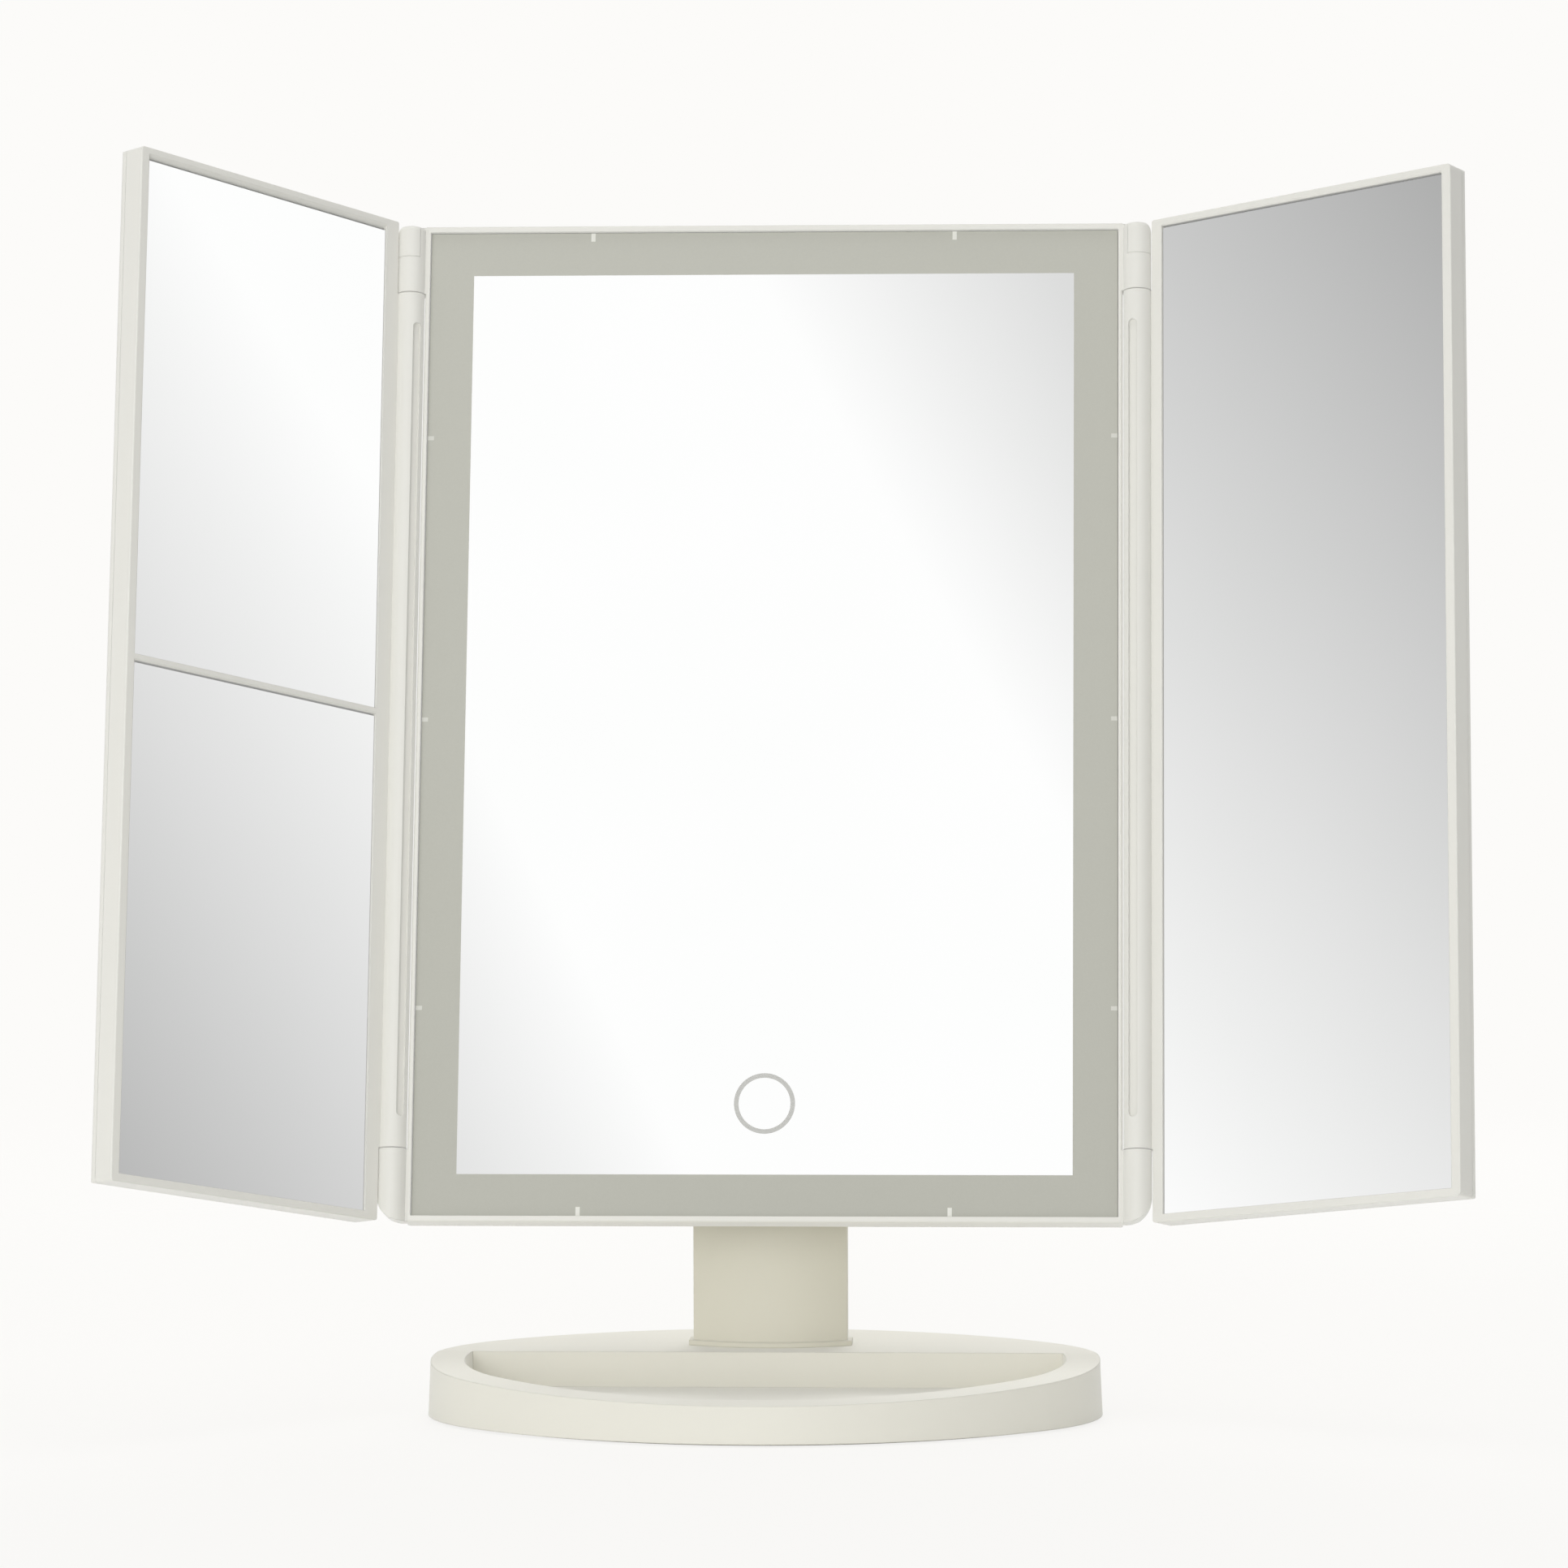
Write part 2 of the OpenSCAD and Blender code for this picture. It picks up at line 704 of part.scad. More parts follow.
// Small tabs that locate the diffuser, along the tray's outer wall
module tray_tabs(grow, y0, y1) {
    half = tab_w / 2 + grow;
    reach = 2 * tab_w + grow;
    for (s = [-1, 1]) {
        for (i = [-1:1]) for (z = [panel_h / 2 + i * tab_rise])
            block(s * tray_x - (s > 0 ? reach : grow), s * tray_x + (s > 0 ? grow : reach),
                y0, y1, z - half, z + half);
        for (x = [s * tab_side]) {
            block(x - half, x + half, y0, y1, tray_low - grow, tray_low + reach);
            block(x - half, x + half, y0, y1, panel_h - tray_low - reach, panel_h - tray_low + grow);
        }
    }
}

module light_tray() {
    front = glass_back + seat;
    shelf = front + diffuser_t + seat;
    color("#f4f4ee") in_panel() difference() {
        union() {
            // outer wall, floor of the light channel and inner wall
            difference() {
                plate(-tray_x, tray_x, tray_low, panel_h - tray_low, shelf, tray_back + tray_floor_t, 0);
                difference() {
                    plate(tray_wall - tray_x, tray_x - tray_wall, tray_low + tray_wall,
                        panel_h - tray_low - tray_wall, 0, tray_back, 0);
                    plate(-inner_x, inner_x, inner_low, panel_h - inner_low, 0, panel_w, 0);
                }
            }
            plate(-inner_x, inner_x, inner_low, panel_h - inner_low, front, tray_back + tray_floor_t, 0);
            tray_tabs(0, front, shelf + past);
        }
        // room behind the middle of the mirror
        plate(tray_wall - inner_x, inner_x - tray_wall, inner_low + tray_wall,
            panel_h - inner_low - tray_wall, front + plate_t, panel_w, 0);
        peg(0, touch_height, 0, panel_w, touch_hole_r);
    }
    color("#f4f4ee") in_panel() for (z = screw_heights) for (s = [-1, 1]) difference() {
        peg(s * screw_x, z, front + plate_t - 0.5, tray_back + tray_floor_t, boss_r);
        peg(s * screw_x, z, front + plate_t, panel_w, screw_r - screw_bite);
    }
}

module led_boards() {
    back = tray_back - seat;
    low = tray_low + tray_wall + fit;
    color("#f2f2ee") in_panel() {
        for (s = [0, 1]) translate([0, 0, s * panel_h]) mirror([0, 0, s])
            block(-inner_x, inner_x, back - board_t, back, low, inner_low - fit);
        for (s = [0, 1]) mirror([s, 0, 0])
            block(inner_x + fit, tray_x - tray_wall - fit, back - board_t, back,
                inner_low, panel_h - inner_low);
    }
}

module leds() {
    back = tray_back - board_t - seat;
    mid_z = (tray_low + tray_wall + inner_low) / 2;
    mid_x = (inner_x + tray_x - tray_wall) / 2;
    rows = floor((panel_h - 2 * inner_low) / led_gap);
    columns = floor(2 * inner_x / led_gap);
    color("#f6e7a0") in_panel() {
        for (s = [-1, 1]) for (i = [0:rows - 1])
            translate([s * mid_x, 0, panel_h / 2 + (i - (rows - 1) / 2) * led_gap])
                block(-1.4, 1.4, back - led_h, back, -1.75, 1.75);
        for (z = [mid_z, panel_h - mid_z]) for (i = [0:columns - 1])
            translate([(i - (columns - 1) / 2) * led_gap, 0, z])
                block(-1.75, 1.75, back - led_h, back, -1.4, 1.4);
    }
}

// ---- Back cover with its housing ----

module back_cover() {
    inside = cover_depth - cover_wall;
    back_in = housing_depth - housing_wall;
    color(ivory) in_panel() difference() {
        union() {
            // flat shell
            difference() {
                soft_block(-panel_side, panel_side, 0, cover_depth, 0, panel_h, 0, cover_edge_r, edge_r);
                block(-panel_w, panel_w, -past, frame_depth, -past, panel_h + past);
                soft_block(cover_wall - panel_side, panel_side - cover_wall, 0, inside, cover_wall,
                    panel_h - cover_wall, 0, cover_edge_r - cover_wall, 0);
            }
            // housing
            difference() {
                soft_block(-housing_x, housing_x, 0, housing_depth, housing_low, housing_top,
                    0, 3, housing_r);
                block(-panel_w, panel_w, -past, cover_depth - 0.5, -past, panel_h);
                // room for the electronics below and for the cells above
                block(housing_wall - housing_x, housing_x - housing_wall, inside - past, back_in,
                    housing_low + housing_wall, bay_low - rib_t);
                block(-bay_x, bay_x, cover_depth, housing_depth + past, bay_low, housing_top - housing_wall);
            }
            // walls of the stem's channel, and posts that carry the control board
            channel_walls(inside, housing_depth);
            for (x = [-1, 1]) for (z = [board_low + 4, board_low + board_h - 10])
                peg(x * (channel_x - 2), z, board_back + seat, inside + past / 2, post_r);
        }
        // opening between the shell and the housing, kept shut under the channel
        difference() {
            block(housing_wall - housing_x, housing_x - housing_wall, inside - past, cover_depth + past,
                housing_low + housing_wall, bay_low - rib_t);
            block(-ear_out, ear_out, 0, panel_w, 0, channel_top + channel_wall);
        }
        // channel
        block(-channel_x, channel_x, cover_depth, panel_w, -past, channel_top);
        axle(pivot_depth, pivot_height, -ear_out - past, ear_out + past, tilt_pin_r + bore_gap);
        door_slot();
        // windows of the switch and the socket, and screw holes
        block(switch_x - knob_way, switch_x + knob_way, back_in - past, panel_w,
            switch_height - knob_h / 2 - running, switch_height + knob_h / 2 + running);
        block(housing_x - 2 * housing_wall, housing_x + past, socket_depth - socket_h / 2 - fit,
            socket_depth + socket_h / 2 + fit, socket_height - socket_w / 2 - fit,
            socket_height + socket_w / 2 + fit);
        for (z = screw_heights) for (s = [-1, 1]) {
            peg(s * screw_x, z, 0, panel_w, screw_r + fit);
            peg(s * screw_x, z, cover_depth - screw_head_t - 2 * seat, panel_w, screw_head_r + fit);
        }
    }
}

// Side and top walls round the channel that the stem turns in
module channel_walls(y0, y1) {
    difference() {
        block(-ear_out, ear_out, y0, y1 - 0.5, housing_low + 0.5, channel_top + channel_wall);
        block(-channel_x, channel_x, cover_depth, panel_w, -past, channel_top);
    }
}

// Room for the sliding door: its plate, its side tongues and the way out at the top
module door_slot() {
    block(-bay_x, bay_x, housing_depth - door_t - running, panel_w, bay_low, panel_h);
    block(-bay_x - door_tongue_w - running, bay_x + door_tongue_w + running, door_tongue_y() - running,
        door_tongue_y() + door_tongue_t + running, bay_low, panel_h);
}
function door_tongue_y() = housing_depth - door_t + 0.1;

module battery_door() {
    top = housing_top;
    low = bay_low + running;
    color(ivory) in_panel() difference() {
        union() {
            block(running - bay_x, bay_x - running, housing_depth - door_t, housing_depth, low, top);
            block(-bay_x - door_tongue_w, bay_x + door_tongue_w, door_tongue_y(),
                door_tongue_y() + door_tongue_t, low, top - 3);
        }
        for (i = [-2:2]) translate([0, housing_depth, (low + top) / 2 + 2 * i]) rotate([0, 90, 0])
            translate([0, 0, -9]) cylinder(r = 0.5, h = 18);
    }
}

module control_board() {
    color("#2f6b3f") in_panel()
        block(-board_w / 2, board_w / 2, board_depth, board_back, board_low, board_low + board_h);
    color("#26282b") in_panel() {
        block(8, 16, board_depth - 1.5, board_depth, board_low + 18, board_low + 24);
        block(-15, -9, board_depth - 1.2, board_depth, board_low + 20, board_low + 24);
    }
}

module touch_spring() {
    low = glass_back + 0.1;
    color(steel) in_panel() translate([0, low, touch_height]) rotate([-90, 0, 0]) {
        coil(touch_coil_r, touch_wire_r, board_depth - low - seat, 3);
        cylinder(r = touch_coil_r + touch_wire_r, h = touch_wire_r);
    }
}

// ---- Power ----

module batteries() {
    color("#c9a94b") in_panel() for (row = [0, 1]) for (end = [-1, 0])
        translate([end * cell_l, cell_depth, row_low + row * row_gap]) {
            turn = row == 0 ? 0 : 1;
            translate([turn * cell_l, 0, 0]) rotate([0, turn == 0 ? 90 : -90, 0]) {
                cylinder(r = cell_d / 2, h = cell_l - cell_nub_h);
                cylinder(r = cell_nub_r, h = cell_l - seat);
            }
        }
}

module battery_contacts() {
    wall = bay_x - seat;
    color("#c8ccce") in_panel() for (row = [0, 1]) for (s = [-1, 1])
        translate([0, 0, row_low + row * row_gap]) {
            block(s > 0 ? wall - contact_t : -wall, s > 0 ? wall : contact_t - wall,
                cell_depth - contact_side / 2, cell_depth + contact_side / 2, -contact_side / 2,
                contact_side / 2);
            if ((row == 0) == (s > 0))
                translate([s * (cell_l + seat), cell_depth, 0]) rotate([0, s * 90, 0])
                    cylinder(r = cell_nub_r, h = wall - cell_l - 0.1);
        }
}

module battery_springs() {
    gap = bay_x - seat - contact_t - cell_l;
    color(steel) in_panel() for (row = [0, 1]) for (s = [row == 0 ? -1 : 1])
        translate([s * (cell_l + 2 * seat), cell_depth, row_low + row * row_gap]) rotate([0, s * 90, 0])
            coil(spring_r, spring_wire_r, gap - 4 * seat, 2);
}

module power_socket() {
    color(steel) in_panel() difference() {
        block(housing_x - socket_l, housing_x - 0.3, socket_depth - socket_h / 2, socket_depth + socket_h / 2,
            socket_height - socket_w / 2, socket_height + socket_w / 2);
        block(housing_x - socket_l + socket_shell, housing_x + past,
            socket_depth - socket_h / 2 + socket_shell, socket_depth + socket_h / 2 - socket_shell,
            socket_height - socket_w / 2 + socket_shell, socket_height + socket_w / 2 - socket_shell);
    }
    color("#26282b") in_panel()
        block(housing_x - socket_l + socket_shell, housing_x - 1.2, socket_depth - 0.3, socket_depth + 0.3,
            socket_height - socket_w / 2 + 1.4, socket_height + socket_w / 2 - 1.4);
}

module switch_body() {
    back = housing_depth - housing_wall - seat;
    half = switch_travel / 2 + knob_w / 2 + 2;
    color("#d9d9d4") in_panel() difference() {
        block(switch_x - half, switch_x + half, back - switch_t, back,
            switch_height - knob_h, switch_height + knob_h);
        block(switch_x - half + 1.5, switch_x + half - 1.5, back - 2.5, back + past,
            switch_height - knob_h / 2 - running, switch_height + knob_h / 2 + running);
    }
}

module switch_knob() {
    back = housing_depth - housing_wall;
    color(shade) in_panel() difference() {
        translate([knob_rest, 0, switch_height])
            soft_block(-knob_w / 2, knob_w / 2, back - 2.3, housing_depth + knob_out, -knob_h / 2, knob_h / 2,
                0, 0.4, 0);
        for (i = [-1:1]) translate([knob_rest + i, housing_depth + knob_out, switch_height])
            cylinder(r = 0.25, h = 2 * knob_h, center = true);
    }
}

module cover_screws() {
    color(steel) in_panel() for (z = screw_heights) for (s = [-1, 1])
        translate([s * screw_x, cover_depth - seat, z]) rotate([90, 0, 0]) difference() {
            screw(cover_screw_l);
            translate([0, 0, -past]) cylinder(r = screw_r - 0.3, h = past + 0.5, $fn = 6);
        }
}

// Leads to the board: two from the cells, one from the switch and one from the socket
module wiring() {
    board = board_back + seat;
    top = bay_low - rib_t - seat - lead_r;
    down = board_low + board_h - 6;
    lane = cover_depth + 2;
    switch_front = housing_depth - housing_wall - switch_t - 2 * seat;
    socket_in = housing_x - socket_l - seat;
    color("#b23b32") in_panel() lead([[-30, lane, top], [-30, lane, down], [-30, board, down]]);
    color("#26282b") in_panel() lead([[-33, lane, top], [-33, lane, down], [-33, board, down]]);
    color("#b23b32") in_panel() lead([[-35, switch_front, switch_height], [-35, board, switch_height]]);
    color("#26282b") in_panel() lead([[socket_in, socket_depth, socket_height],
        [board_w / 2 - 4, socket_depth, socket_height], [board_w / 2 - 4, board, socket_height]]);
}

// Round lead through a list of points, with round bends
module lead(points) {
    for (i = [0:len(points) - 2]) {
        from = points[i];
        step = points[i + 1] - from;
        translate(from) rotate([0, acos(step[2] / norm(step)), atan2(step[1], step[0])])
            cylinder(r = lead_r, h = norm(step), $fn = 16);
        if (i > 0) translate(from) sphere(lead_r, $fn = 16);
    }
}

// ---- Tilt joint ----

module tilt_pin() {
    color(steel) in_panel() {
        axle(pivot_depth, pivot_height, -ear_out - pin_head_t, ear_out + nut_t + 1, tilt_pin_r);
        axle(pivot_depth, pivot_height, -ear_out - pin_head_t, -ear_out - seat, pin_head_r);
    }
}

module tilt_nut() {
    color(steel) in_panel() difference() {
        translate([ear_out + seat, pivot_depth, pivot_height]) rotate([0, 90, 0])
            cylinder(d = nut_across / cos(30), h = nut_t, $fn = 6);
        axle(pivot_depth, pivot_height, 0, panel_w, tilt_pin_r + seat);
    }
}

module friction_washers() {
    color("#c9c6ba") in_panel() for (s = [-1, 1]) difference() {
        axle(pivot_depth, pivot_height, s > 0 ? stem_w / 2 + bore_gap : -channel_x + bore_gap,
            s > 0 ? channel_x - bore_gap : -stem_w / 2 - bore_gap, washer_r);
        axle(pivot_depth, pivot_height, -panel_w, panel_w, tilt_pin_r + bore_gap);
    }
}

// ---- Wings ----

// Frame of a wing. Its mirrors lie between the heights in each pair of `mirrors`.
module wing_frame(top, mirrors, lip_in) {
    long_h = long_top - long_low;
    difference() {
        union() {
            soft_block(wing_in, wing_reach, wing_front, wing_back, 0, top, wing_edge_r, 0, corner_r);
            translate([0, 0, long_low]) cylinder(r = knuckle_r, h = long_h);
            block(0, wing_in + 1, wing_front, web_back, long_low, long_top);
        }
        for (m = mirrors) wing_pocket(m, lip_in);
        for (z = [long_low - past, long_top - hinge_pin_reach - 0.3])
            translate([0, 0, z]) cylinder(r = hinge_pin_r + bore_gap, h = hinge_pin_reach + past + 0.3);
        rotate([0, 0, groove_turn]) translate([0, -knuckle_r + groove_depth, 0]) rotate([90, 0, 0])
            linear_extrude(knuckle_r) {
                for (z = [long_low + groove_margin + groove_w / 2, long_top - groove_margin - groove_w / 2])
                    translate([0, z]) circle(groove_w / 2);
                translate([-groove_w / 2, long_low + groove_margin + groove_w / 2])
                    square([groove_w, long_h - 2 * groove_margin - groove_w]);
            }
    }
}

// Pocket of a mirror between two heights, with a slope along its upper edge
module wing_pocket(m, lip_in) {
    floor_y = wing_back - wing_floor_t;
    slope = m[2];
    translate([wing_in + lip_in, 0, 0]) rotate([90, 0, 90])
        linear_extrude(wing_reach - wing_lip_out - wing_in - lip_in)
            polygon([[0, m[0]], [floor_y, m[0]], [floor_y, m[1]], [wing_front + slope, m[1]],
                [0, m[1] + slope + wing_front]]);
}

module wing_cover(top) {
    soft_cover_y = wing_back + seat;
    difference() {
        soft_block(wing_in, wing_reach, 0, wing_back + wing_cover_t, 0, top, 0, cover_round, corner_r);
        block(0, panel_w, -past, soft_cover_y, -past, top + past);
    }
}

// A wing's mirror between two heights
module wing_mirror(recess, t, m, lip_in) {
    front = wing_front + recess;
    plate(wing_in + lip_in + fit, wing_reach - wing_lip_out - fit, m[0] + seat, m[1] - mirror_play,
        front, front + t, 0);
}

// Foam between that mirror and the floor of its pocket
module wing_foam(recess, t, m, lip_in) {
    front = wing_front + recess + t + seat;
    plate(wing_in + lip_in + 2, wing_reach - wing_lip_out - 2, m[0] + 2, m[1] - 2,
        front, wing_back - wing_floor_t - seat, 0);
}

// One pin in each end of the long knuckle
module wing_pins() {
    reach = hinge_pin_reach - running;
    for (z = [long_low - running, long_top + running])
        translate([0, 0, z - reach]) cylinder(r = hinge_pin_r, h = 2 * reach);
}

left_top = panel_h + left_rise;
right_top = panel_h + right_rise;
// Lower edge, upper edge and slope of each pocket
left_low = [wing_lip_low, bar_low, bar_slope];
left_high = [bar_low + bar_w, left_top - left_lip_top, left_slope];
right_full = [wing_lip_low, right_top - right_lip_top, right_slope];

module left_wing_frame() {
    color(ivory) in_left_wing() wing_frame(left_top, [left_low, left_high], left_lip_in);
}

module left_wing_cover() {
    color(ivory) in_left_wing() wing_cover(left_top);
}

module left_upper_mirror() {
    color(silver) in_left_wing() wing_mirror(left_recess, left_glass_t, left_high, left_lip_in);
}

module left_lower_mirror() {
    color(silver) in_left_wing() wing_mirror(left_recess, left_glass_t, left_low, left_lip_in);
}

module left_foam_pads() {
    color("#cfd0cb") in_left_wing() for (m = [left_low, left_high])
        wing_foam(left_recess, left_glass_t, m, left_lip_in);
}

module left_hinge_pins() {
    color(steel) in_left_wing() wing_pins();
}

module right_wing_frame() {
    color(ivory) in_right_wing() wing_frame(right_top, [right_full], right_lip_in);
}

module right_wing_cover() {
    color(ivory) in_right_wing() wing_cover(right_top);
}

module right_mirror() {
    color(silver) in_right_wing() wing_mirror(right_recess, glass_t, right_full, right_lip_in);
}

module right_foam_pad() {
    color("#cfd0cb") in_right_wing() wing_foam(right_recess, glass_t, right_full, right_lip_in);
}

module right_hinge_pins() {
    color(steel) in_right_wing() wing_pins();
}

base_shell();
base_bottom_cover();
base_ballast();
base_pad();
base_screws();
stem();
stem_screws();
centre_frame();
centre_glass();
diffuser();
light_tray();
led_boards();
leds();
back_cover();
control_board();
touch_spring();
batteries();
battery_contacts();
battery_springs();
battery_door();
power_socket();
switch_body();
switch_knob();
cover_screws();
tilt_pin();
tilt_nut();
friction_washers();
wiring();
left_hinge_cap();
right_hinge_cap();
left_wing_frame();
left_wing_cover();
left_upper_mirror();
left_lower_mirror();
left_foam_pads();
left_hinge_pins();
right_wing_frame();
right_wing_cover();
right_mirror();
right_foam_pad();
right_hinge_pins();
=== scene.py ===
import math

import bmesh
import bpy
from mathutils import Matrix, Vector


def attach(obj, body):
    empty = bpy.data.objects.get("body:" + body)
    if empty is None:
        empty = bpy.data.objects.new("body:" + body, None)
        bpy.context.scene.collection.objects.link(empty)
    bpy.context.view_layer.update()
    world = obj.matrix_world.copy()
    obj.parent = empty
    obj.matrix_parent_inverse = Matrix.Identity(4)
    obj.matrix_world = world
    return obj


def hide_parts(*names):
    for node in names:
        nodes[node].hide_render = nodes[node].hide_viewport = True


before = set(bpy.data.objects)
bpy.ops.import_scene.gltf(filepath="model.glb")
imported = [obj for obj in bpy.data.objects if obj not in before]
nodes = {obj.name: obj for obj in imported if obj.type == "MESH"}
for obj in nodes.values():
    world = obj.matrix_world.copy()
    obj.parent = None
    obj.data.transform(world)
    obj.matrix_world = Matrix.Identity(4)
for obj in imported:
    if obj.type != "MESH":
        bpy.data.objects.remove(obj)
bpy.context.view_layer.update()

# ---- Camera ----
# A long lens on the user's side, almost level with the middle of the mirrors and slightly to
# the right of them, as the photograph was taken.
camera_place = Vector((0.0919193, -1.5669647, 0.1980739))
camera_turn = math.radians(3.1811)
camera_dip = math.radians(1.86)
camera_roll = math.radians(-0.1705)
lens_px, frame_px = 8337.6071, 1932
sensor_mm = 36
view_end_m = 20
ahead = Vector((
    -math.sin(camera_turn) * math.cos(camera_dip),
    math.cos(camera_turn) * math.cos(camera_dip),
    -math.sin(camera_dip),
))
aside = Vector((math.cos(camera_turn), math.sin(camera_turn), 0))
upward = aside.cross(ahead)
aside, upward = (
    aside * math.cos(camera_roll) + upward * math.sin(camera_roll),
    upward * math.cos(camera_roll) - aside * math.sin(camera_roll),
)
camera = bpy.data.objects.new("camera", bpy.data.cameras.new("camera"))
bpy.context.scene.collection.objects.link(camera)
camera.data.sensor_width = sensor_mm
camera.data.sensor_height = sensor_mm
camera.data.lens = lens_px / frame_px * sensor_mm
camera.data.clip_end = view_end_m
camera.matrix_world = Matrix((
    (aside.x, upward.x, -ahead.x, camera_place.x),
    (aside.y, upward.y, -ahead.y, camera_place.y),
    (aside.z, upward.z, -ahead.z, camera_place.z),
    (0, 0, 0, 1),
))
bpy.context.scene.camera = camera
bpy.context.scene.view_settings.view_transform = "Standard"

# ---- Studio ----
# A white room with even light all round, and four soft lamps: two in front to the left, one
# overhead and one behind. Its walls grey off in places, and that is what the mirrors show.
room_white = "#FCFBF9"


def linear(colour):
    """The linear colour, with an alpha of 1, of an sRGB hex value."""
    parts = [int(colour[i:i + 2], 16) / 255 for i in (1, 3, 5)]
    return [p / 12.92 if p <= 0.04045 else ((p + 0.055) / 1.055) ** 2.4 for p in parts] + [1]


def add(tree, kind, settings, links=()):
    """Add one node with its fields and socket values, and link (input, node, output) rows to it."""
    made = tree.nodes.new(kind)
    for name, value in settings.items():
        if isinstance(name, int) or name in made.inputs:
            made.inputs[name].default_value = value
        else:
            setattr(made, name, value)
    for socket, source, output in links:
        tree.links.new(source.outputs[output], made.inputs[socket])
    return made


world = bpy.data.worlds.new("studio_room")
bpy.context.scene.world = world
world.use_nodes = True
room = world.node_tree
room.nodes.clear()
toward = add(room, "ShaderNodeTexCoord", {})
compass = add(room, "ShaderNodeSeparateXYZ", {}, [(0, toward, "Generated")])


def wall_light(at_centre, slope, at_eye_level, climb):
    """How bright a wall is towards each direction: a lit part falls away to an even wash."""
    rise = add(room, "ShaderNodeVectorMath", {"operation": "DOT_PRODUCT", 1: slope},
               [(0, toward, "Generated")])
    lit = add(room, "ShaderNodeMath", {"operation": "ADD", 1: at_centre}, [(0, rise, "Value")])
    wash = add(room, "ShaderNodeMath", {"operation": "MULTIPLY_ADD", 1: climb, 2: at_eye_level},
               [(0, compass, "Z")])
    level = add(room, "ShaderNodeMath", {"operation": "MAXIMUM"}, [(0, lit, 0), (1, wash, 0)])
    return add(room, "ShaderNodeClamp", {"Min": 0.3, "Max": 1.0}, [(0, level, 0)])


# The wall in front darkens to the upper right and a little to the lower left. The right wall is
# darkest low down and the left wall high up.
front_above = wall_light(2.52, (-6.1, 0, -3.83), 0.95, -0.45)
front_below = wall_light(0.10, (6.3, 0, 3.6), 0.95, -0.45)
right_wall = wall_light(-0.178, (0, 5.5, 2.23), 0.40, 0.5)
left_wall = wall_light(2.928, (0, 3.10, -3.89), 0.62, -0.6)
front = add(room, "ShaderNodeMath", {"operation": "MINIMUM"}, [(0, front_above, 0), (1, front_below, 0)])
at_right = add(room, "ShaderNodeMath", {"operation": "GREATER_THAN", 1: 0.5}, [(0, compass, "X")])
at_left = add(room, "ShaderNodeMath", {"operation": "LESS_THAN", 1: -0.5}, [(0, compass, "X")])
two_walls = add(room, "ShaderNodeMix", {}, [(0, at_right, 0), (2, front, 0), (3, right_wall, 0)])
walls = add(room, "ShaderNodeMix", {}, [(0, at_left, 0), (2, two_walls, 0), (3, left_wall, 0)])

rays = add(room, "ShaderNodeLightPath", {})
straight = add(room, "ShaderNodeMath", {"operation": "MAXIMUM"},
               [(0, rays, "Is Camera Ray"), (1, rays, "Is Transmission Ray")])
dome = add(room, "ShaderNodeBackground", {"Color": linear("#FFFFFF"), "Strength": 0.46})
wall = add(room, "ShaderNodeBackground", {"Color": linear(room_white), "Strength": 1.0})
gloss = add(room, "ShaderNodeBackground", {"Color": linear("#FFFFFF")}, [("Strength", walls, 0)])
lit_or_shown = add(room, "ShaderNodeMixShader", {}, [(0, rays, "Is Glossy Ray"), (1, dome, 0), (2, gloss, 0)])
every = add(room, "ShaderNodeMixShader", {}, [(0, straight, 0), (1, lit_or_shown, 0), (2, wall, 0)])
add(room, "ShaderNodeOutputWorld", {}, [("Surface", every, 0)])

for name, place, aim, size, watts in (
    ("front_softbox", (-0.22, -1.45, 0.20), (0, 0, 0.10), 1.2, 8.2),
    ("key_softbox", (-0.70, -1.10, 0.70), (-0.08, 0, 0.12), 1.0, 3.0),
    ("top_softbox", (0.0, 0.1, 1.9), (0, 0, 0), 1.4, 10),
    ("back_softbox", (0.1, 1.1, 0.60), (0, 0, 0.04), 0.9, 6.5),
):
    lamp = bpy.data.objects.new(name, bpy.data.lights.new(name, "AREA"))
    lamp.data.shape = "DISK"
    lamp.data.size = size
    lamp.data.energy = watts
    lamp.location = place
    lamp.rotation_euler = (Vector(aim) - Vector(place)).to_track_quat("-Z", "Y").to_euler()
    lamp.visible_glossy = False
    lamp.visible_camera = False
    bpy.context.scene.collection.objects.link(lamp)

# A round white table. It fades out towards its rim, so that no edge shows.
table_radius = 1.2
fade_from, fade_to = 0.30, 1.0
table_mesh = bpy.data.meshes.new("white_table")
disc = bmesh.new()
bmesh.ops.create_circle(disc, cap_ends=True, segments=96, radius=table_radius)
disc.to_mesh(table_mesh)
disc.free()
table = bpy.data.objects.new("white_table", table_mesh)
bpy.context.scene.collection.objects.link(table)

laminate = bpy.data.materials.new("white_table_laminate")
laminate.use_nodes = True
laid = laminate.node_tree
laid.nodes.clear()
table_rays = add(laid, "ShaderNodeLightPath", {})
across = add(laid, "ShaderNodeTexCoord", {})
away = add(laid, "ShaderNodeVectorMath", {"operation": "LENGTH"}, [(0, across, "Object")])
fade = add(laid, "ShaderNodeMapRange", {
    "interpolation_type": "SMOOTHSTEP", "From Min": fade_from, "From Max": fade_to,
    "To Min": 0.0, "To Max": 1.0,
}, [("Value", away, "Value")])
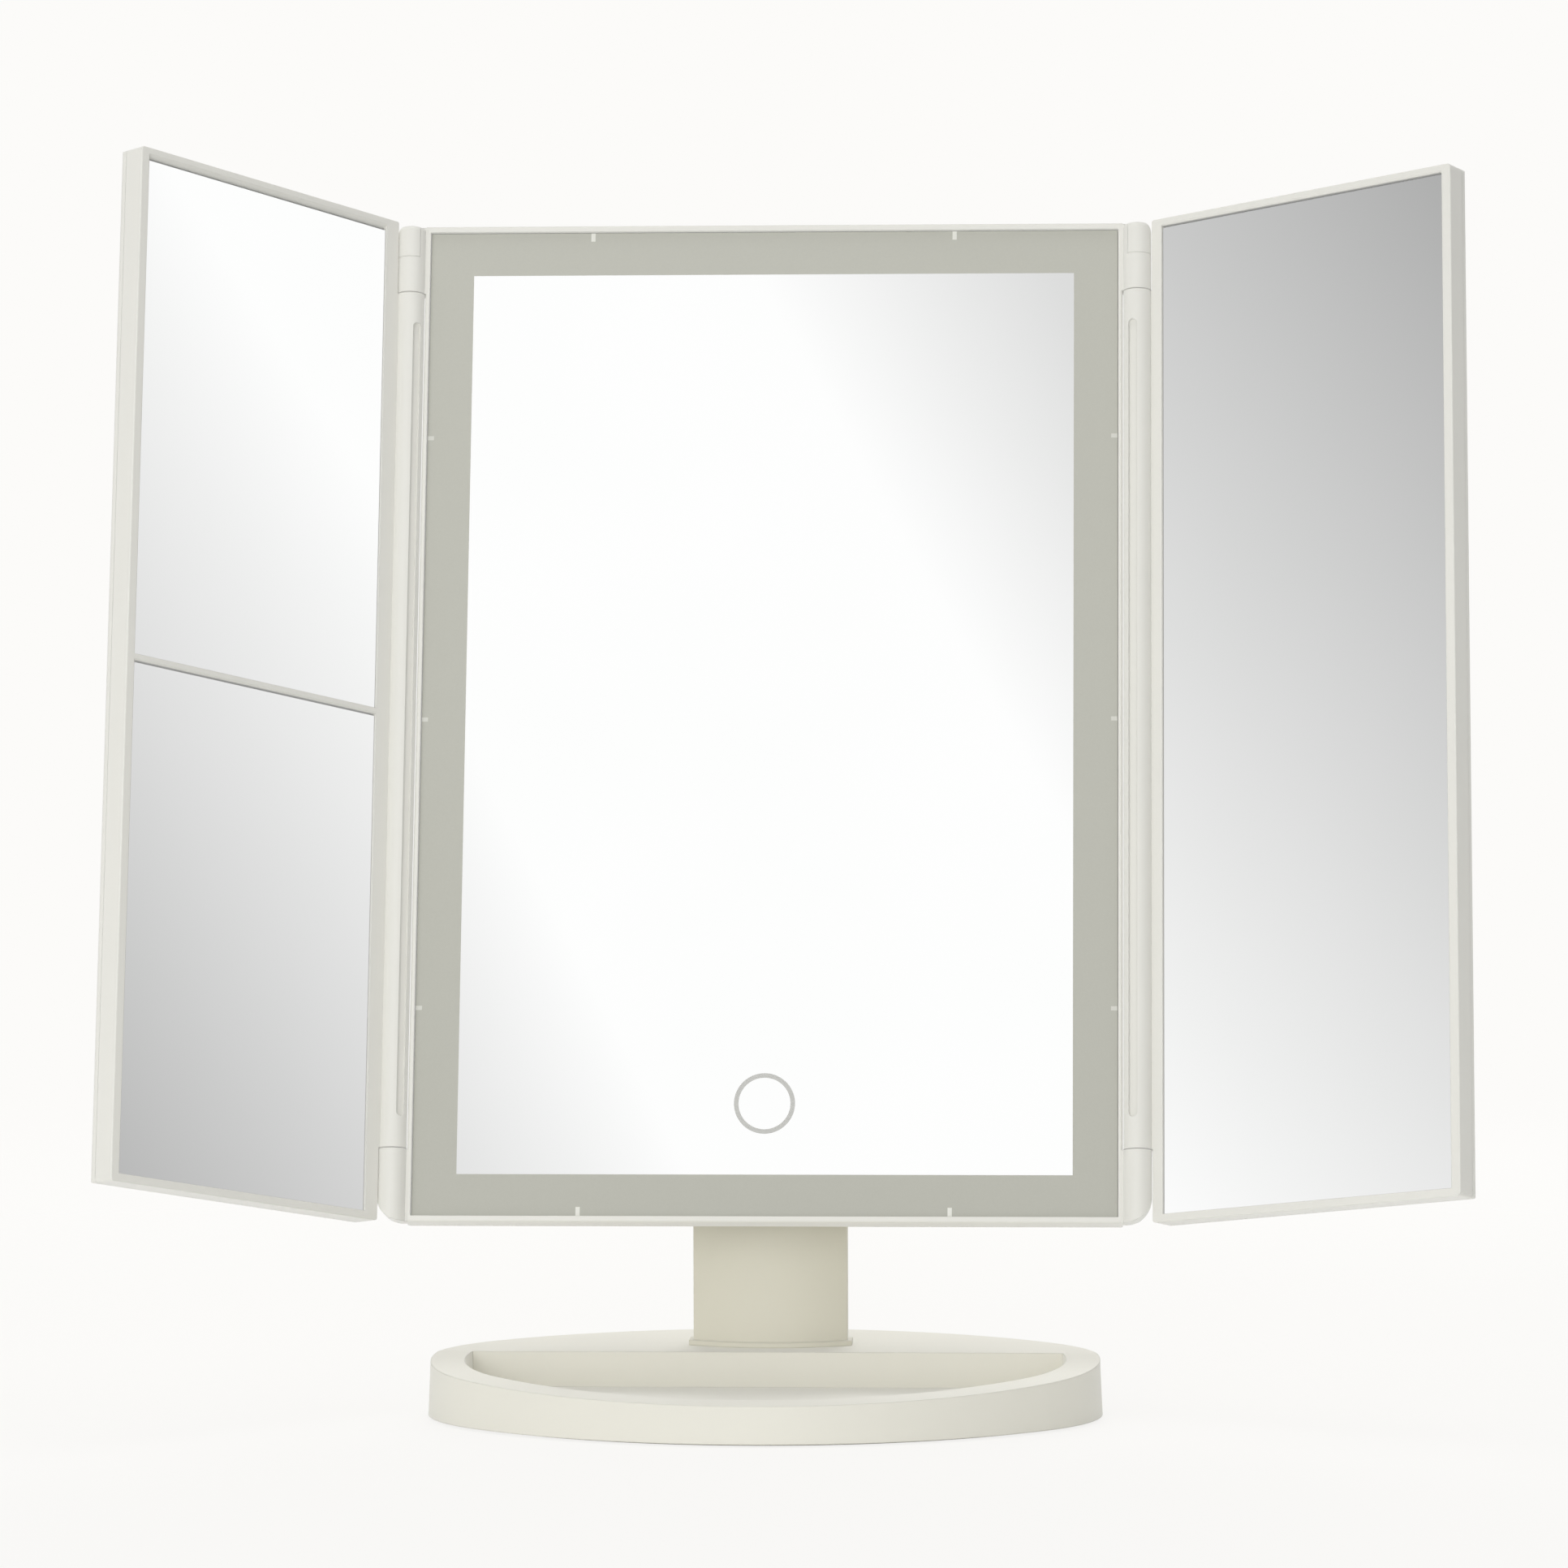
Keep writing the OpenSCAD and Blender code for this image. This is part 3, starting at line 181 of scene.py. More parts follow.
# The camera sees it nearly as white as the wall, with a little of its shading and shadow left.
glow = add(laid, "ShaderNodeMath", {"operation": "MULTIPLY", 1: 0.86}, [(0, table_rays, "Is Camera Ray")])
top = add(laid, "ShaderNodeBsdfPrincipled", {
    "Base Color": linear("#F4F4F2"), "Roughness": 0.9, "Specular IOR Level": 0.0,
})
bright = add(laid, "ShaderNodeEmission", {"Color": linear(room_white)})
shown = add(laid, "ShaderNodeMixShader", {}, [(0, glow, 0), (1, top, 0), (2, bright, 0)])
clear = add(laid, "ShaderNodeBsdfTransparent", {})
merge = add(laid, "ShaderNodeMixShader", {}, [(0, fade, 0), (1, shown, 0), (2, clear, 0)])
add(laid, "ShaderNodeOutputMaterial", {}, [("Surface", merge, 0)])
table.data.materials.append(laminate)

# The mirrors show the room and not the mirror's own wings, as in the photograph.
for item in (table, *nodes.values()):
    item.visible_glossy = False

# ---- Base shell ----
# The oval foot: one injection moulding in ivory ABS with a half-moon tray in front and a rim
# that slopes down towards the user. It is open below and closed by its bottom cover.
ivory = "#EBE9DE"
abs_grain_mm = 0.45


def begin(name):
    """A new material, its empty tree and the Object coordinates in it."""
    made = bpy.data.materials.new(name)
    made.use_nodes = True
    made.node_tree.nodes.clear()
    return made, made.node_tree, add(made.node_tree, "ShaderNodeTexCoord", {})


def close(tree, shader):
    """Send the shader to the surface."""
    add(tree, "ShaderNodeOutputMaterial", {}, [("Surface", shader, 0)])


def finish_node(name, *materials):
    """Give a CAD node its materials."""
    slots = nodes[name].data.materials
    slots.clear()
    for made in materials:
        slots.append(made)


def moulded_abs(name, colour, edge_mm=0.45, rough=0.42):
    """Injection-moulded ABS with a spark-eroded grain: a satin, faintly mottled skin, soft edges."""
    # The real grain is about 0.1 mm, drawn at 0.45 mm so that it shows in a render.
    made, tree, place = begin(name)
    flow = add(tree, "ShaderNodeTexNoise", {"Scale": 1000 / 34, "Detail": 3.0, "Roughness": 0.5},
               [("Vector", place, "Object")])
    grain = add(tree, "ShaderNodeTexNoise", {"Scale": 1000 / abs_grain_mm, "Detail": 2.0, "Roughness": 0.6},
                [("Vector", place, "Object")])
    pale = linear(colour)
    deep = [c * 0.965 for c in pale[:3]] + [1]
    tint = add(tree, "ShaderNodeMix", {"data_type": "RGBA", 6: deep, 7: pale}, [(0, flow, "Fac")])
    skin = add(tree, "ShaderNodeMapRange", {
        "From Min": 0.3, "From Max": 0.7, "To Min": rough - 0.05, "To Max": rough + 0.05,
    }, [("Value", grain, "Fac")])
    edge = add(tree, "ShaderNodeBevel", {"samples": 6, "Radius": edge_mm / 1000})
    bump = add(tree, "ShaderNodeBump", {"Strength": 0.12, "Distance": 0.00004},
               [("Height", grain, "Fac"), ("Normal", edge, 0)])
    close(tree, add(tree, "ShaderNodeBsdfPrincipled", {"IOR": 1.53},
                    [("Base Color", tint, 2), ("Roughness", skin, 0), ("Normal", bump, 0)]))
    return made


ivory_abs = moulded_abs("moulded_ivory_abs", ivory)
finish_node("base_shell", ivory_abs)

# ---- Ballast ----
# A thick plate of hot-rolled steel, laid on the bottom cover round the shell's screw posts so
# that the base stands firm. Its dark mill scale is mottled blue-grey and rubbed brighter.
mill_scale, tree, place = begin("hot_rolled_steel")
patches = add(tree, "ShaderNodeTexNoise", {"Scale": 1000 / 14, "Detail": 5.0, "Roughness": 0.62},
              [("Vector", place, "Object")])
scale_tint = add(tree, "ShaderNodeMix", {"data_type": "RGBA", 6: linear("#5B5F63"), 7: linear("#8C8E8E")},
                 [(0, patches, "Fac")])
scale_skin = add(tree, "ShaderNodeMapRange", {"To Min": 0.62, "To Max": 0.38}, [("Value", patches, "Fac")])
scale_bump = add(tree, "ShaderNodeBump", {"Strength": 0.3, "Distance": 0.00005}, [("Height", patches, "Fac")])
close(tree, add(tree, "ShaderNodeBsdfPrincipled", {"Metallic": 1.0},
                [("Base Color", scale_tint, 2), ("Roughness", scale_skin, 0), ("Normal", scale_bump, 0)]))
finish_node("base_ballast", mill_scale)

# ---- Bottom cover and screws ----
# A flat ABS plate closes the shell from below, held to the shell's posts by six zinc-plated
# screws. Two longer ones come up through it into the stem. The back cover's look the same.
shade_abs = moulded_abs("moulded_grey_ivory_abs", "#DAD8CD", edge_mm=0.3, rough=0.5)
finish_node("base_bottom_cover", shade_abs)


def plated_steel(name, colour, rough, grain_mm):
    """Drawn or rolled steel under a thin bright plating: clean metal with a fine drawing grain."""
    made, tree, place = begin(name)
    drawn = add(tree, "ShaderNodeTexNoise", {"Scale": 1000 / grain_mm, "Detail": 3.0, "Roughness": 0.55},
                [("Vector", place, "Object")])
    bright = linear(colour)
    dull = [c * 0.86 for c in bright[:3]] + [1]
    tint = add(tree, "ShaderNodeMix", {"data_type": "RGBA", 6: dull, 7: bright}, [(0, drawn, "Fac")])
    skin = add(tree, "ShaderNodeMapRange", {"To Min": rough - 0.06, "To Max": rough + 0.08},
               [("Value", drawn, "Fac")])
    edge = add(tree, "ShaderNodeBevel", {"samples": 4, "Radius": 0.00015})
    bump = add(tree, "ShaderNodeBump", {"Strength": 0.1, "Distance": 0.00002},
               [("Height", drawn, "Fac"), ("Normal", edge, 0)])
    close(tree, add(tree, "ShaderNodeBsdfPrincipled", {"Metallic": 1.0},
                    [("Base Color", tint, 2), ("Roughness", skin, 0), ("Normal", bump, 0)]))
    return made


zinc_plated = plated_steel("zinc_plated_steel", "#C6CACC", 0.34, 1.6)
for name in ("base_screws", "stem_screws", "cover_screws"):
    finish_node(name, zinc_plated)

# ---- Base pad ----
# A sheet of closed-cell non-slip foam, cut to the base's outline, on the underside of the bottom
# cover: dull and finely pitted.
slip_foam, tree, place = begin("closed_cell_eva")
# The real cells are about 0.2 mm, drawn at 0.8 mm so that they show in a render.
cells = add(tree, "ShaderNodeTexVoronoi", {"Scale": 1000 / 0.8}, [("Vector", place, "Object")])
sheet_tone = add(tree, "ShaderNodeTexNoise", {"Scale": 1000 / 30, "Detail": 2.0},
                 [("Vector", place, "Object")])
pad_tint = add(tree, "ShaderNodeMix", {"data_type": "RGBA", 6: linear("#CFCDC2"), 7: linear("#DBD9CF")},
               [(0, sheet_tone, "Fac")])
pad_skin = add(tree, "ShaderNodeMapRange", {"To Min": 0.92, "To Max": 0.78}, [("Value", cells, "Distance")])
pad_bump = add(tree, "ShaderNodeBump", {"Strength": 0.4, "Distance": 0.0001}, [("Height", cells, "Distance")])
close(tree, add(tree, "ShaderNodeBsdfPrincipled", {"IOR": 1.49},
                [("Base Color", pad_tint, 2), ("Roughness", pad_skin, 0), ("Normal", pad_bump, 0)]))
finish_node("base_pad", slip_foam)

# ---- Stem ----
# A solid slab column with a convex front and a round knuckle on top. Its collar stands on the
# shell and its foot goes into it, held by two screws from below. Its colour is drawn a little
# darker and yellower than the foot's, as painted shade from the panel above and painted warm
# light bounced off the foot.
# Darker, yellower copy of the ivory: painted shade and painted bounce light.
stem_abs_painted_shade = moulded_abs("moulded_stem_abs_painted_shade", "#E2DFD0")
finish_node("stem", stem_abs_painted_shade)

# ---- Light tray ----
# An open tray moulded in white-filled ABS stands behind the frosted border of the mirror and
# throws the lamps' light forward: a chalky, even white.
white_abs = moulded_abs("white_reflector_abs", "#F5F5F1", edge_mm=0.2, rough=0.6)
finish_node("light_tray", white_abs)

# ---- LED boards and LEDs ----
# Four narrow glass-epoxy boards under white solder mask, with a row of small lamps on each. The
# lamps are plain blocks in the soft yellow of their phosphor.


def masked_board(name, mask, joint_mm, joint_share):
    """Glass-epoxy board: its cloth shows faintly through the mask, with tinned joints in it."""
    made, tree, place = begin(name)
    cloth = add(tree, "ShaderNodeTexChecker", {"Scale": 1000 / 1.1}, [("Vector", place, "Object")])
    joints = add(tree, "ShaderNodeTexVoronoi", {"Scale": 1000 / joint_mm, "Randomness": 0.55},
                 [("Vector", place, "Object")])
    tin = add(tree, "ShaderNodeMath", {"operation": "LESS_THAN", 1: joint_share}, [(0, joints, "Distance")])
    over = linear(mask)
    under = [c * 0.9 for c in over[:3]] + [1]
    woven = add(tree, "ShaderNodeMix", {"data_type": "RGBA", 6: under, 7: over}, [(0, cloth, "Fac")])
    tint = add(tree, "ShaderNodeMix", {"data_type": "RGBA", 7: linear("#C9C9C4")},
               [(0, tin, 0), (6, woven, 2)])
    skin = add(tree, "ShaderNodeMapRange", {"To Min": 0.36, "To Max": 0.24}, [("Value", tin, 0)])
    bump = add(tree, "ShaderNodeBump", {"Strength": 0.25, "Distance": 0.00006}, [("Height", tin, 0)])
    close(tree, add(tree, "ShaderNodeBsdfPrincipled", {"IOR": 1.52},
                    [("Base Color", tint, 2), ("Roughness", skin, 0), ("Normal", bump, 0)]))
    return made


finish_node("led_boards", masked_board("white_mask_glass_epoxy", "#EEEFEA", 5.0, 0.16))

phosphor, tree, place = begin("phosphor_silicone")
grit = add(tree, "ShaderNodeTexNoise", {"Scale": 1000 / 0.5, "Detail": 2.0}, [("Vector", place, "Object")])
phosphor_tint = add(tree, "ShaderNodeMix", {"data_type": "RGBA", 6: linear("#EFDF95"), 7: linear("#FAF0BE")},
                    [(0, grit, "Fac")])
phosphor_skin = add(tree, "ShaderNodeMapRange", {"To Min": 0.28, "To Max": 0.4}, [("Value", grit, "Fac")])
close(tree, add(tree, "ShaderNodeBsdfPrincipled", {"IOR": 1.43},
                [("Base Color", phosphor_tint, 2), ("Roughness", phosphor_skin, 0)]))
finish_node("leds", phosphor)

# ---- Diffuser ----
# A frame of opal acrylic behind the frosted border, notched round the light tray's small tabs:
# milky and half gloss.
opal, tree, place = begin("opal_acrylic")
milk = add(tree, "ShaderNodeTexNoise", {"Scale": 1000 / 9, "Detail": 2.0}, [("Vector", place, "Object")])
milk_tint = add(tree, "ShaderNodeMix", {"data_type": "RGBA", 6: linear("#EDEDE6"), 7: linear("#F4F4EF")},
                [(0, milk, "Fac")])
milk_skin = add(tree, "ShaderNodeMapRange", {"To Min": 0.32, "To Max": 0.42}, [("Value", milk, "Fac")])
close(tree, add(tree, "ShaderNodeBsdfPrincipled",
                {"IOR": 1.49, "Subsurface Weight": 0.3, "Subsurface Scale": 0.002},
                [("Base Color", milk_tint, 2), ("Roughness", milk_skin, 0)]))
finish_node("diffuser", opal)

# ---- Centre frame ----
# One moulding in the ivory ABS, a little glossier than the foot: the thin lip round the glass,
# and the short knuckles that the wings' long ones turn between.
frame_abs = moulded_abs("moulded_frame_abs", "#E7E6DF", edge_mm=0.3, rough=0.36)
finish_node("centre_frame", frame_abs)

# ---- Centre mirror ----
# A 2 mm float glass sheet with its silver in a plain rectangle, drawn on the front face although
# a real one is behind the glass. The border is left bare and etched, so that the lamps shine
# through, and the touch mark is a ring etched in the silver.
panel_tilt = math.radians(-13.5)
tilt_axis_m = Vector((0, 0.0234, 0.0756))
axis_in_panel_m = Vector((0, 0.022, 0.036))
m_per_mm = 0.001
panel_place = (
    Matrix.Translation(tilt_axis_m)
    @ Matrix.Rotation(panel_tilt, 4, "X")
    @ Matrix.Translation(-axis_in_panel_m)
    @ Matrix.Diagonal((m_per_mm, m_per_mm, m_per_mm, 1))
)
# In the panel's own millimetres: across from its middle, up from its foot, back from its front.
glass_half, glass_low, glass_high = 82.0, 1.6, 238.4
glass_face, glass_back = 1.0, 2.98
silver_half, silver_low, silver_high = 71.65, 11.3, 227.95
# Pale spots at the sheet's edge, next to the light tray's tabs behind it.
tab_places, tab_half = (-43.2, 43.2), 0.5
tab_levels = (50.5, 119.5, 188.0)
end_tab_reach, side_tab_reach = 2.2, 1.65
lip_side, lip_low, lip_high = 82.15, 1.45, 238.55
touch_height, touch_outer, touch_inner = 28.0, 7.12, 6.05
touch_lift = 0.02
face_slack = 0.01
slot_silver, slot_frost, slot_end_tab, slot_side_tab, slot_touch, slot_edge = range(6)

silvered, tree, place = begin("silvered_float_glass")
# Tin-side haze and a trace of polish: the only thing that keeps it from a perfect reflection.
haze = add(tree, "ShaderNodeTexNoise", {"Scale": 1000 / 60, "Detail": 2.0}, [("Vector", place, "Object")])
polish = add(tree, "ShaderNodeMapRange", {"To Min": 0.008, "To Max": 0.025}, [("Value", haze, "Fac")])
silver_tint = add(tree, "ShaderNodeMix", {"data_type": "RGBA", 6: linear("#FCFDFC"), 7: linear("#FFFFFF")},
                  [(0, haze, "Fac")])
close(tree, add(tree, "ShaderNodeBsdfPrincipled", {"Metallic": 1.0},
                [("Base Color", silver_tint, 2), ("Roughness", polish, 0)]))


def etched_glass(name, colour, lower, rough):
    """Acid-etched glass: a fine, even frost under the sheet's own gloss, drawn darker low down as painted
    shade.
    """
    made, tree, place = begin(name)
    # The frost is about 0.05 mm, drawn at 0.5 mm so that it shows in a render.
    frost = add(tree, "ShaderNodeTexNoise", {"Scale": 1000 / 0.5, "Detail": 2.0},
                [("Vector", place, "Object")])
    level = add(tree, "ShaderNodeSeparateXYZ", {}, [(0, place, "Object")])
    # The second colour darkens the sheet towards its foot: painted shade.
    painted_shade_ramp = add(tree, "ShaderNodeMapRange", {"From Min": 0.28, "From Max": 0.05}, [("Value", level, "Z")])
    shade = add(tree, "ShaderNodeMix", {"data_type": "RGBA", 6: linear(colour), 7: linear(lower)},
                [(0, painted_shade_ramp, 0)])
    speck = add(tree, "ShaderNodeMix",
                {"data_type": "RGBA", "blend_type": "MULTIPLY", 7: (0.955, 0.955, 0.95, 1)},
                [(0, frost, "Fac"), (6, shade, 2)])
    skin = add(tree, "ShaderNodeMapRange", {"To Min": rough - 0.06, "To Max": rough + 0.06},
               [("Value", frost, "Fac")])
    close(tree, add(tree, "ShaderNodeBsdfPrincipled",
                    {"IOR": 1.52, "Coat Weight": 0.35, "Coat Roughness": 0.08},
                    [("Base Color", speck, 2), ("Roughness", skin, 0)]))
    return made


# The etched border is drawn darker towards its foot: painted shade.
frosted = etched_glass("etched_float_glass", "#BEBEB4", "#B8B8AE", 0.55)
over_end_tab = etched_glass("etched_float_glass_over_end_tab", "#EAEAE2", "#EAEAE2", 0.5)
over_side_tab = etched_glass("etched_float_glass_over_side_tab", "#D6D6CE", "#D6D6CE", 0.5)
touch_etch = etched_glass("etched_touch_mark", "#C6C6C2", "#C4C4C0", 0.5)

# The cut edge and the lacquered back of the sheet: dark grey-green, and half dull.
glass_edge, tree, place = begin("cut_glass_edge_and_backing_lacquer")
streak = add(tree, "ShaderNodeTexNoise", {"Scale": 1000 / 2, "Detail": 2.0}, [("Vector", place, "Object")])
edge_tint = add(tree, "ShaderNodeMix", {"data_type": "RGBA", 6: linear("#3E4440"), 7: linear("#565D58")},
                [(0, streak, "Fac")])
edge_skin = add(tree, "ShaderNodeMapRange", {"To Min": 0.35, "To Max": 0.55}, [("Value", streak, "Fac")])
close(tree, add(tree, "ShaderNodeBsdfPrincipled", {"IOR": 1.52},
                [("Base Color", edge_tint, 2), ("Roughness", edge_skin, 0)]))

pane = bmesh.new()
bmesh.ops.create_cube(pane, size=1)
bmesh.ops.scale(pane, verts=pane.verts,
                vec=(2 * glass_half, glass_back - glass_face, glass_high - glass_low))
bmesh.ops.translate(pane, verts=pane.verts,
                    vec=(0, (glass_face + glass_back) / 2, (glass_low + glass_high) / 2))
cuts_across = [side * x for side in (-1, 1) for x in (silver_half, lip_side - side_tab_reach)]
cuts_across += [x + step for x in tab_places for step in (-tab_half, tab_half)]
cuts_up = [silver_low, silver_high, lip_low + end_tab_reach, lip_high - end_tab_reach]
cuts_up += [z + step for z in tab_levels for step in (-tab_half, tab_half)]
for x in cuts_across:
    bmesh.ops.bisect_plane(pane, geom=pane.verts[:] + pane.edges[:] + pane.faces[:],
                           plane_co=(x, 0, 0), plane_no=(1, 0, 0))
for z in cuts_up:
    bmesh.ops.bisect_plane(pane, geom=pane.verts[:] + pane.edges[:] + pane.faces[:],
                           plane_co=(0, 0, z), plane_no=(0, 0, 1))
for face in pane.faces:
    at = face.calc_center_median()
    in_silver = abs(at.x) < silver_half and silver_low < at.z < silver_high
    by_end = at.z < lip_low + end_tab_reach or at.z > lip_high - end_tab_reach
    by_side = abs(at.x) > lip_side - side_tab_reach
    if abs(at.y - glass_face) > face_slack:
        face.material_index = slot_edge
    elif in_silver:
        face.material_index = slot_silver
    elif by_end and min(abs(at.x - x) for x in tab_places) < tab_half:
        face.material_index = slot_end_tab
    elif by_side and min(abs(at.z - z) for z in tab_levels) < tab_half:
        face.material_index = slot_side_tab
    else:
        face.material_index = slot_frost

mark = bmesh.ops.create_circle(pane, segments=96, radius=touch_outer)["verts"]
hole = bmesh.ops.create_circle(pane, segments=96, radius=touch_inner)["verts"]
rims = list({edge for vert in mark + hole for edge in vert.link_edges})
ring = bmesh.ops.bridge_loops(pane, edges=rims)["faces"]
for face in ring:
    face.material_index = slot_touch
bmesh.ops.rotate(pane, verts=mark + hole, cent=(0, 0, 0),
                 matrix=Matrix.Rotation(math.radians(90), 3, "X"))
bmesh.ops.translate(pane, verts=mark + hole, vec=(0, glass_face - touch_lift, touch_height))
bmesh.ops.recalc_face_normals(pane, faces=pane.faces)
for face in ring:
    if face.normal.y > 0:
        face.normal_flip()
bmesh.ops.transform(pane, matrix=panel_place, verts=pane.verts)
pane_mesh = bpy.data.meshes.new("centre_mirror_sheet")
pane.to_mesh(pane_mesh)
pane.free()
for made in (silvered, frosted, over_end_tab, over_side_tab, touch_etch, glass_edge):
    pane_mesh.materials.append(made)
centre_mirror = bpy.data.objects.new("centre_mirror_sheet", pane_mesh)
bpy.context.scene.collection.objects.link(centre_mirror)
centre_mirror.visible_glossy = False
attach(centre_mirror, "centre_panel")
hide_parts("centre_glass")

# ---- Control board, touch spring and leads ----
# A green glass-epoxy board behind the mirror's lower part, the wire spring that brings it the
# finger's touch, and four PVC leads: two from the cells, one from the switch, one from the inlet.
finish_node("control_board", masked_board("green_mask_glass_epoxy", "#2C6A42", 3.4, 0.2))
spring_wire = plated_steel("nickel_plated_spring_wire", "#CFCBC0", 0.22, 0.8)
finish_node("touch_spring", spring_wire)

lead_skin, tree, place = begin("pvc_lead_insulation")
where = add(tree, "ShaderNodeSeparateXYZ", {}, [(0, place, "Object")])
# One of the cells' leads and the switch's, 30 and 35 mm to the left, are red. The others are black.
lead_half = 0.0012
plus_leads = []
for lead_x in (-0.030, -0.035):
    offset = add(tree, "ShaderNodeMath", {"operation": "SUBTRACT", 1: lead_x}, [(0, where, "X")])
    off = add(tree, "ShaderNodeMath", {"operation": "ABSOLUTE"}, [(0, offset, 0)])
    plus_leads.append(add(tree, "ShaderNodeMath", {"operation": "LESS_THAN", 1: lead_half},
                          [(0, off, 0)]))
plus = add(tree, "ShaderNodeMath", {"operation": "MAXIMUM"}, [(0, plus_leads[0], 0), (1, plus_leads[1], 0)])
rub = add(tree, "ShaderNodeTexNoise", {"Scale": 1000 / 3, "Detail": 2.0}, [("Vector", place, "Object")])
lead_tint = add(tree, "ShaderNodeMix", {"data_type": "RGBA", 6: linear("#26272A"), 7: linear("#B3312B")},
                [(0, plus, 0)])
lead_rough = add(tree, "ShaderNodeMapRange", {"To Min": 0.36, "To Max": 0.5}, [("Value", rub, "Fac")])
close(tree, add(tree, "ShaderNodeBsdfPrincipled", {"IOR": 1.53},
                [("Base Color", lead_tint, 2), ("Roughness", lead_rough, 0)]))
finish_node("wiring", lead_skin)

# ---- Cells and their contacts ----
# Four AA cells in two rows: a dark shrink sleeve, copper-coloured near each row's outer ends, with
# bare nickel-plated steel at those ends and in the middle. Springs and plates touch their ends.
copper_from, can_end_from, can_start_to = 0.0360, 0.0489, 0.0012
sleeve, tree, place = begin("sleeved_nickel_plated_cell")
along = add(tree, "ShaderNodeSeparateXYZ", {}, [(0, place, "Object")])
from_middle = add(tree, "ShaderNodeMath", {"operation": "ABSOLUTE"}, [(0, along, "X")])
copper = add(tree, "ShaderNodeMath", {"operation": "GREATER_THAN", 1: copper_from}, [(0, from_middle, 0)])
can_end = add(tree, "ShaderNodeMath", {"operation": "GREATER_THAN", 1: can_end_from},
              [(0, from_middle, 0)])
can_start = add(tree, "ShaderNodeMath", {"operation": "LESS_THAN", 1: can_start_to},
                [(0, from_middle, 0)])
bare = add(tree, "ShaderNodeMath", {"operation": "MAXIMUM"}, [(0, can_end, 0), (1, can_start, 0)])
two_tone = add(tree, "ShaderNodeMix", {"data_type": "RGBA", 6: linear("#2B2D31"), 7: linear("#B98A4E")},
               [(0, copper, 0)])
cell_tint = add(tree, "ShaderNodeMix", {"data_type": "RGBA", 7: linear("#C8C8C4")},
                [(0, bare, 0), (6, two_tone, 2)])
film = add(tree, "ShaderNodeTexNoise", {"Scale": 1000 / 5, "Detail": 2.0}, [("Vector", place, "Object")])
film_skin = add(tree, "ShaderNodeMapRange", {"To Min": 0.22, "To Max": 0.36}, [("Value", film, "Fac")])
close(tree, add(tree, "ShaderNodeBsdfPrincipled", {"IOR": 1.5, "Metallic": 0.35},
                [("Base Color", cell_tint, 2), ("Roughness", film_skin, 0)]))
finish_node("batteries", sleeve)
finish_node("battery_springs", spring_wire)
finish_node("battery_contacts", plated_steel("nickel_plated_strip", "#D3D0C8", 0.28, 1.2))

# ---- Back cover and battery door ----
# The back shell carries the raised housing for the cells, moulded in an ivory ABS a little duller
# than the foot, and is screwed to the light tray. The battery door slides up along its grooves.
back_abs = moulded_abs("moulded_back_abs", "#E8E6DD", edge_mm=0.35, rough=0.46)
finish_node("back_cover", back_abs)
finish_node("battery_door", back_abs)

# ---- Power inlet and switch ----
# The inlet is a drawn stainless shell. The switch has a glass-filled PBT body behind the wall and
# a grey ABS knob that slides in its slot.
finish_node("power_socket", plated_steel("drawn_stainless_shell", "#BFC1C1", 0.3, 0.9))
finish_node("switch_body", moulded_abs("glass_filled_pbt", "#E9E8E2", edge_mm=0.15, rough=0.55))
finish_node("switch_knob", moulded_abs("moulded_knob_abs", "#C9C7BC", edge_mm=0.25, rough=0.4))

# ---- Tilt pin, nut and washers ----
# A zinc-plated steel pin with a flat head and a hexagon nut runs through the housing and the
# stem's knuckle. Two nylon washers beside the knuckle give the tilt its even drag.
for name in ("tilt_pin", "tilt_nut"):
    finish_node(name, zinc_plated)
nylon, tree, place = begin("natural_nylon")
cloud = add(tree, "ShaderNodeTexNoise", {"Scale": 1000 / 4, "Detail": 2.0}, [("Vector", place, "Object")])
nylon_tint = add(tree, "ShaderNodeMix", {"data_type": "RGBA", 6: linear("#E0DCCB"), 7: linear("#ECE9DC")},
                 [(0, cloud, "Fac")])
nylon_skin = add(tree, "ShaderNodeMapRange", {"To Min": 0.38, "To Max": 0.5}, [("Value", cloud, "Fac")])
close(tree, add(tree, "ShaderNodeBsdfPrincipled", {"IOR": 1.53},
                [("Base Color", nylon_tint, 2), ("Roughness", nylon_skin, 0)]))
finish_node("friction_washers", nylon)

# ---- Hinge caps and pins ----
# Each wing turns on two short ground steel pins, one at each end of its long knuckle. A moulded
# cap closes the top knuckle over its pin.
ground_pin = plated_steel("ground_steel_pin", "#BDBFC0", 0.2, 0.7)
for name in ("left_hinge_pins", "right_hinge_pins"):
    finish_node(name, ground_pin)
for name in ("left_hinge_cap", "right_hinge_cap"):
    finish_node(name, frame_abs)

# ---- Side wings ----
# Each wing is a moulded frame with the long knuckle on its inner edge, closed behind by a plain
# cover. Both are in the centre frame's ABS.
for side in ("left", "right"):
    finish_node(side + "_wing_frame", frame_abs)
    finish_node(side + "_wing_cover", frame_abs)

